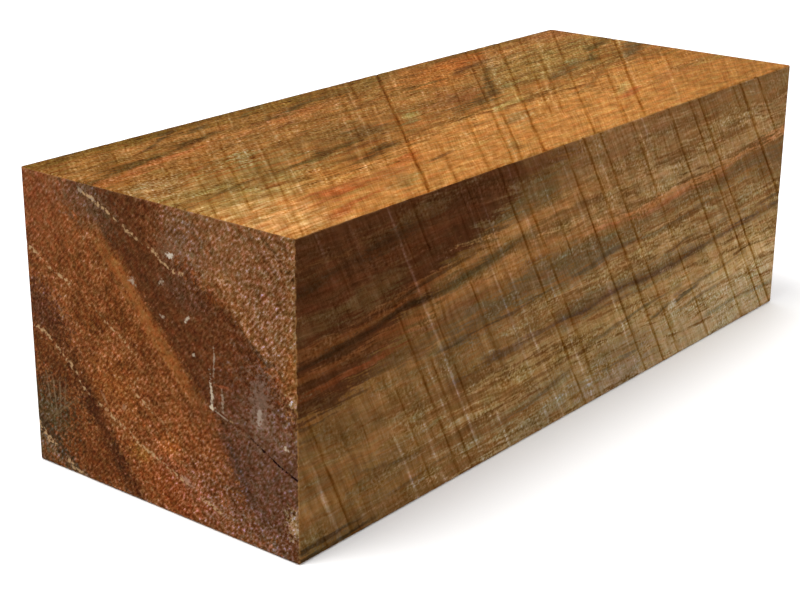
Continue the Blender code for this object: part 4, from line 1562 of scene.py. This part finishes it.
# %% Near end: the dark band and the outer wood
DARK_BAND = (
    (10, -4.5, 3.5, 0.6), (12, -2.5, 4, 0.9), (16, -0.5, 5.5, 1), (20, 2, 7, 1), (24, 4, 9, 1),
    (27, 5.5, 11, 1), (30, 7, 12.5, 1), (33, 15, 8, 1), (38, 18.8, 9.2, 1), (41, 21.2, 9.8, 1),
    (43, 23.4, 10.6, 1), (45, 25.8, 12.2, 1), (49, 30.7, 14.3, 1), (54, 36.6, 13.4, 0.95),
     (58.3, 39, 15, 0.9),
)
near_figures = (
    ((130, 74, 44), 0.5, "spot", 2, 4, 8, 9),
    (TAN, 0.85, "streak", 1.8, (28, -10, 10, 0), (32, -8, 12, 0.8), (36, -5, 13.5, 1),
     (45, -3, 17, 1), (52, 0, 21, 1), (58.3, 2, 22, 1)),
    (UMBER, 0.95, "streak", 1.4, *DARK_BAND),
    ((82, 64, 45), 0.6, "spot", 16, 3.4, 6, 4.4, 40),
    ((114, 66, 35), 0.6, "spot", 30.4, 3.2, 3, 5.5),
    ((112, 80, 54), 0.5, "spot", 34.8, 4, 4.4, 4.2),
    ((92, 62, 42), 0.6, "spot", 36, 13.5, 6, 2.4, 20),
    ((98, 56, 30), 0.55, "spot", 44, 22, 7, 6, 40),
    ((136, 88, 48), 0.65, "streak", 1.5, (41, 9, 1, 0), (44, 10.6, 2.2, 0.9), (47, 13, 2.4, 1),
     (50, 16, 2.2, 0.8), (54, 19, 1, 0)),
    (HAZE, 0.8, "spot", 54, 36, 13, 15),
    ((80, 58, 45), 0.6, "streak", 1.2, (41.5, 33, 1, 0), (44, 35.6, 2.2, 0.9), (46, 38.6, 2.4, 1),
     (48, 42, 2.2, 0.9), (51, 46, 2.2, 0.7), (55, 49.5, 1.5, 0)),
    (EMBER, 0.65, "streak", 1.6, (13, 4.6, 1, 0), (17, 8.2, 2, 0.8), (20, 11.2, 2.2, 0.9),
     (24, 15.4, 2.2, 1), (27, 18.8, 2.2, 1), (30, 21.8, 2.2, 1), (34, 26.2, 2, 1),
     (37, 29.2, 1.5, 0.6), (40, 32.2, 1.1, 0.2), (43, 36, 1, 0)),
)
print("Dark band and outer wood:", len(near_figures), "figures")

# %% Near end: the back half and small patches
near_figures += (
    ((90, 58, 42), 0.75, "spot", 3, 23.5, 7, 4.2, 35),
    ((84, 48, 26), 0.8, "streak", 2.2, (0, 21, 2.2, 0.8), (3, 23, 2.8, 0.9), (5, 25, 3.2, 0.9),
     (8, 28, 3.2, 0.9), (10, 31, 3.6, 1), (12, 34, 3.8, 1), (14, 37, 3.8, 1), (17, 41, 3.6, 1),
     (20, 45.5, 3.6, 1), (23, 49, 3.2, 1), (27, 54, 3, 0.9)),
    ((60, 34, 18), 0.65, "spot", 13.5, 37.6, 3.6, 2.1, 45),
    ((60, 34, 18), 0.65, "spot", 19.5, 45.2, 4.2, 2.2, 52),
    ((98, 54, 28), 0.6, "spot", 11.5, 45.5, 8, 5.4, 40),
    ((96, 70, 46), 0.6, "spot", 4.6, 37.4, 5, 4.4),
    ((60, 44, 26), 0.85, "spot", 3, 41, 7, 7),
    ((86, 48, 24), 0.7, "spot", 5, 31, 8, 5, 30),
    ((106, 88, 62), 0.5, "streak", 1.2, (0, 46.4, 1.8, 1), (3, 47.6, 1.8, 1), (6, 48.6, 1.6, 1),
     (9, 50, 1.6, 1), (13, 52, 1.4, 0.8)),
    ((86, 66, 41), 0.6, "spot", 1, 50, 4, 2, 20),
    ((162, 93, 40), 0.75, "spot", 32, 39.4, 3.2, 2.4),
    ((152, 102, 45), 0.75, "spot", 25.5, 42.3, 2.8, 1.6, 10),
    ((132, 75, 38), 0.5, "spot", 38, 35.5, 6, 5, 40),
    ((134, 88, 58), 0.6, "spot", 38, 46, 11, 5, 25),
    ((148, 86, 40), 0.5, "spot", 20, 33, 6, 4.5, 45),
    ((154, 70, 26), 0.3, "spot", 32, 46, 8, 5, 30),
    ((122, 88, 64), 0.5, "spot", 50, 48, 8, 3, 20),
    ((122, 88, 64), 0.4, "spot", 53, 31, 6, 3),
    ((136, 98, 56), 0.5, "spot", 59, 14, 4, 14),
    ((96, 60, 36), 0.45, "spot", 38, 31, 3, 3),
    ((104, 84, 54), 0.4, "spot", 3, 42, 5, 4),
    ((96, 66, 48), 0.4, "spot", 37, 6.5, 4, 5),
    ((104, 64, 38), 0.4, "spot", 55, 8, 4, 5),
    ((122, 84, 58), 0.45, "spot", 12, 2.5, 7, 3, 10),
    ((58, 44, 30), 0.65, "streak", 1.2, (0, 43, 2.2, 1), (4, 45.8, 1.6, 1), (8, 49, 1.4, 1),
     (12, 52.5, 1.2, 1)),
    ((138, 85, 42), 0.7, "spot", 57.6, 21, 2.6, 4.6),
    ((84, 55, 32), 0.75, "streak", 0.5, (48.5, -2, 0.45, 0.8), (52, 1, 0.5, 1), (55, 3.6, 0.5, 1),
     (58.3, 6.4, 0.5, 1)),
    ((90, 60, 36), 0.6, "streak", 0.5, (53, -1.4, 0.4, 0.8), (56, 1.4, 0.45, 1), (58.3, 3.4, 0.45, 1)),
    ((96, 64, 38), 0.5, "streak", 0.6, (44, -1.6, 0.5, 0.7), (49, 2.6, 0.6, 0.9), (54, 7, 0.6, 0.9),
     (58.3, 10.6, 0.5, 0.8)),
    ((78, 52, 34), 0.7, "streak", 0.4, (44.5, 13.8, 0.3, 0), (48, 16.4, 0.45, 0.9),
     (50, 18.4, 0.55, 1), (52, 19.8, 0.55, 1), (55, 20.2, 0.3, 0)),
    ((166, 134, 96), 0.7, "spot", 57.4, 44.4, 1.6, 2.4),
    ((164, 130, 88), 0.6, "spot", 57.6, 25, 1.2, 1.0),
)
print("Near end figures:", len(near_figures))

# %% Near end: wax and scratches
near_wax = (
    ((128, 104, 88), 0.5, "spot", 51, 27, 4.6, 2.0, 92),
    ((134, 102, 76), 0.3, "spot", 33.2, 6.8, 3.0, 2.0),
    (WAX, 0.4, "spot", 41.75, 23, 2.4, 0.2, 92),
    (WAX, 0.9, "spot", 41.1, 27.6, 2.2, 0.26, 85),
    ((206, 188, 160), 0.95, "spot", 41.3, 30.2, 0.6, 0.4, 20),
    (WAX, 0.35, "spot", 42.9, 30.9, 1.3, 0.18, 20),
    (WAX, 0.35, "spot", 43.3, 28.6, 1.6, 0.25, 88),
    ((168, 150, 134), 0.7, "spot", 50.8, 29.2, 1.5, 0.45, 95),
    ((166, 146, 126), 0.8, "spot", 24.9, 13.8, 0.6, 0.55),
    ((204, 190, 172), 0.9, "spot", 33.2, 7.9, 0.75, 0.5, -20),
    (WAX, 0.8, "spot", 36.5, 17, 0.65, 0.3, -50),
    (WAX, 0.5, "spot", 16.6, 2.2, 0.55, 0.28, 30),
    (WAX, 0.35, "spot", 14, 1.3, 0.6, 0.25, 30),
    (WAX, 0.5, "spot", 31.1, 17.8, 0.7, 0.3, 30),
    (WAX, 0.45, "spot", 31.3, 12.4, 0.5, 0.35, -40),
    (WAX, 0.6, "spot", 37.6, 22.5, 0.3, 0.25),
    (WAX, 0.8, "spot", 55.8, 32.4, 0.4, 0.32),
    ((176, 136, 112), 0.7, "spot", 35.2, 44.3, 1.3, 0.6, 20),
    ((168, 130, 100), 0.5, "spot", 21.6, 35.4, 0.9, 0.4, -45),
    ((160, 120, 88), 0.5, "spot", 17, 35.2, 1.4, 0.3, 60),
    ((136, 112, 84), 0.45, "spot", 3.4, 37.4, 3.4, 0.22, 80),
    ((136, 112, 84), 0.45, "spot", 4.8, 37.6, 3.6, 0.22, 85),
    ((136, 112, 84), 0.45, "spot", 6.2, 37.8, 3.4, 0.24, 92),
    ((136, 112, 84), 0.35, "spot", 7.4, 37.6, 3.0, 0.2, 98),
    ((136, 108, 76), 0.35, "spot", 6.2, 40.2, 5.0, 0.22, -37),
    ((150, 84, 54), 0.6, "spot", 43.4, 26.2, 1.7, 0.25),
)
print("Smears and scratches:", len(near_wax))

# %% Near end: zones of pepper
near_pepper = (
    (1.1, "spot", 60, 12, 16, 26),
    (0.8, "spot", 43, 4, 8, 6),
    (0.7, "spot", 4, 5, 12, 10),
    (0.6, "spot", 26, 10, 14, 6, 45),
    (0.7, "spot", 42, 24, 10, 8, 45),
    (0.45, "streak", 1.6, (16, 8, 1.5, 0), (24, 15.4, 2, 1), (30, 21.8, 2, 1), (36, 28, 1.6, 0.9),
     (41, 33, 1, 0)),
    (0.75, "spot", 52, 37, 9, 12),
    (1.2, "spot", 40, 46, 14, 7, 20),
)
near = EndWood(NEAR_END, 5.0, END_LIGHT, END_GLOSS)
near_material = end_grain(near, END_GROUNDS, near_figures, near_wax, near_pepper, END_WEAVE)
print("Zones of pepper:", len(near_pepper))

# %% [markdown]
# ## The far end
#
# Out of sight in the photograph. The heart leans through the block, so the dark band arrives here
# nearer the front and the top. The other bands follow it, and there is less wax.

# %% Far end
far_figures = (
    ((130, 74, 44), 0.5, "spot", 6, 12, 12, 14),
    (TAN, 0.85, "streak", 1.8, (38, -14, 12, 0), (44, -10, 13, 0.8), (50, -7, 15, 1),
     (58.3, -4, 18, 1)),
    (UMBER, 0.95, "streak", 1.6, (16, -8, 4, 0.6), (22, -5, 6, 1), (28, -1, 8, 1), (34, 3, 10, 1),
     (40, 8, 11, 1), (46, 14.5, 10.5, 1), (52, 21, 11, 1), (58.3, 28, 12, 1)),
    (EMBER, 0.65, "streak", 1.6, (20, 3, 1, 0), (26, 8.4, 2.2, 0.9), (33, 15, 2.2, 1),
     (40, 21.6, 2.2, 1), (47, 28, 2, 0.9), (53, 35, 1.4, 0)),
    (HAZE, 0.75, "spot", 55, 24, 9, 12, 20),
    ((84, 48, 26), 0.8, "streak", 2.2, (0, 8, 2.2, 0.8), (6, 13, 3, 1), (12, 19, 3.6, 1),
     (18, 26, 3.8, 1), (25, 34, 3.6, 1), (31, 42, 3.4, 1), (37, 52, 3, 0.9)),
    ((60, 34, 18), 0.6, "spot", 17, 25, 4, 2.2, 48),
    ((56, 44, 28), 0.8, "spot", 3, 33, 6, 5, 30),
    ((112, 65, 29), 0.6, "spot", 6, 24, 8, 4, 40),
    ((118, 102, 76), 0.6, "streak", 1.2, (0, 38, 1.8, 1), (8, 42, 1.8, 1), (16, 48, 1.6, 1),
     (21, 53, 1.4, 0.8)),
    ((160, 94, 42), 0.7, "spot", 45, 41, 4, 2.6, 20),
    ((134, 88, 58), 0.6, "spot", 48, 47, 12, 5, 20),
    ((84, 55, 32), 0.7, "streak", 0.5, (50, -2, 0.5, 0.8), (54, 2, 0.5, 1), (58.3, 6, 0.5, 1)),
)
far_wax = (
    (WAX, 0.8, "spot", 20, 40, 2.2, 0.35, -60),
    (WAX, 0.8, "spot", 36, 30, 0.7, 0.5),
    (WAX, 0.6, "spot", 47, 10, 1.2, 0.35, 30),
    ((150, 126, 104), 0.5, "spot", 30, 12, 2.4, 1.0, 60),
)
far_pepper = (
    (1.4, "spot", 60, 6, 16, 20),
    (0.6, "spot", 38, 8, 16, 8, 45),
    (1.2, "spot", 46, 46, 16, 8, 20),
)
far = EndWood(FAR_END, 6.0, END_LIGHT, END_GLOSS)
far_material = end_grain(far, END_GROUNDS, far_figures, far_wax, far_pepper, END_WEAVE)
print("Far end figures:", len(far_figures))

# %% Dressing the block
materials = (near_material, far_material, front_material, back_material, top_material, bottom_material)
for material in materials:
    mesh.materials.append(material)
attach(piece, "root")
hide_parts("blank")
print("Materials:", [material.name for material in mesh.materials])
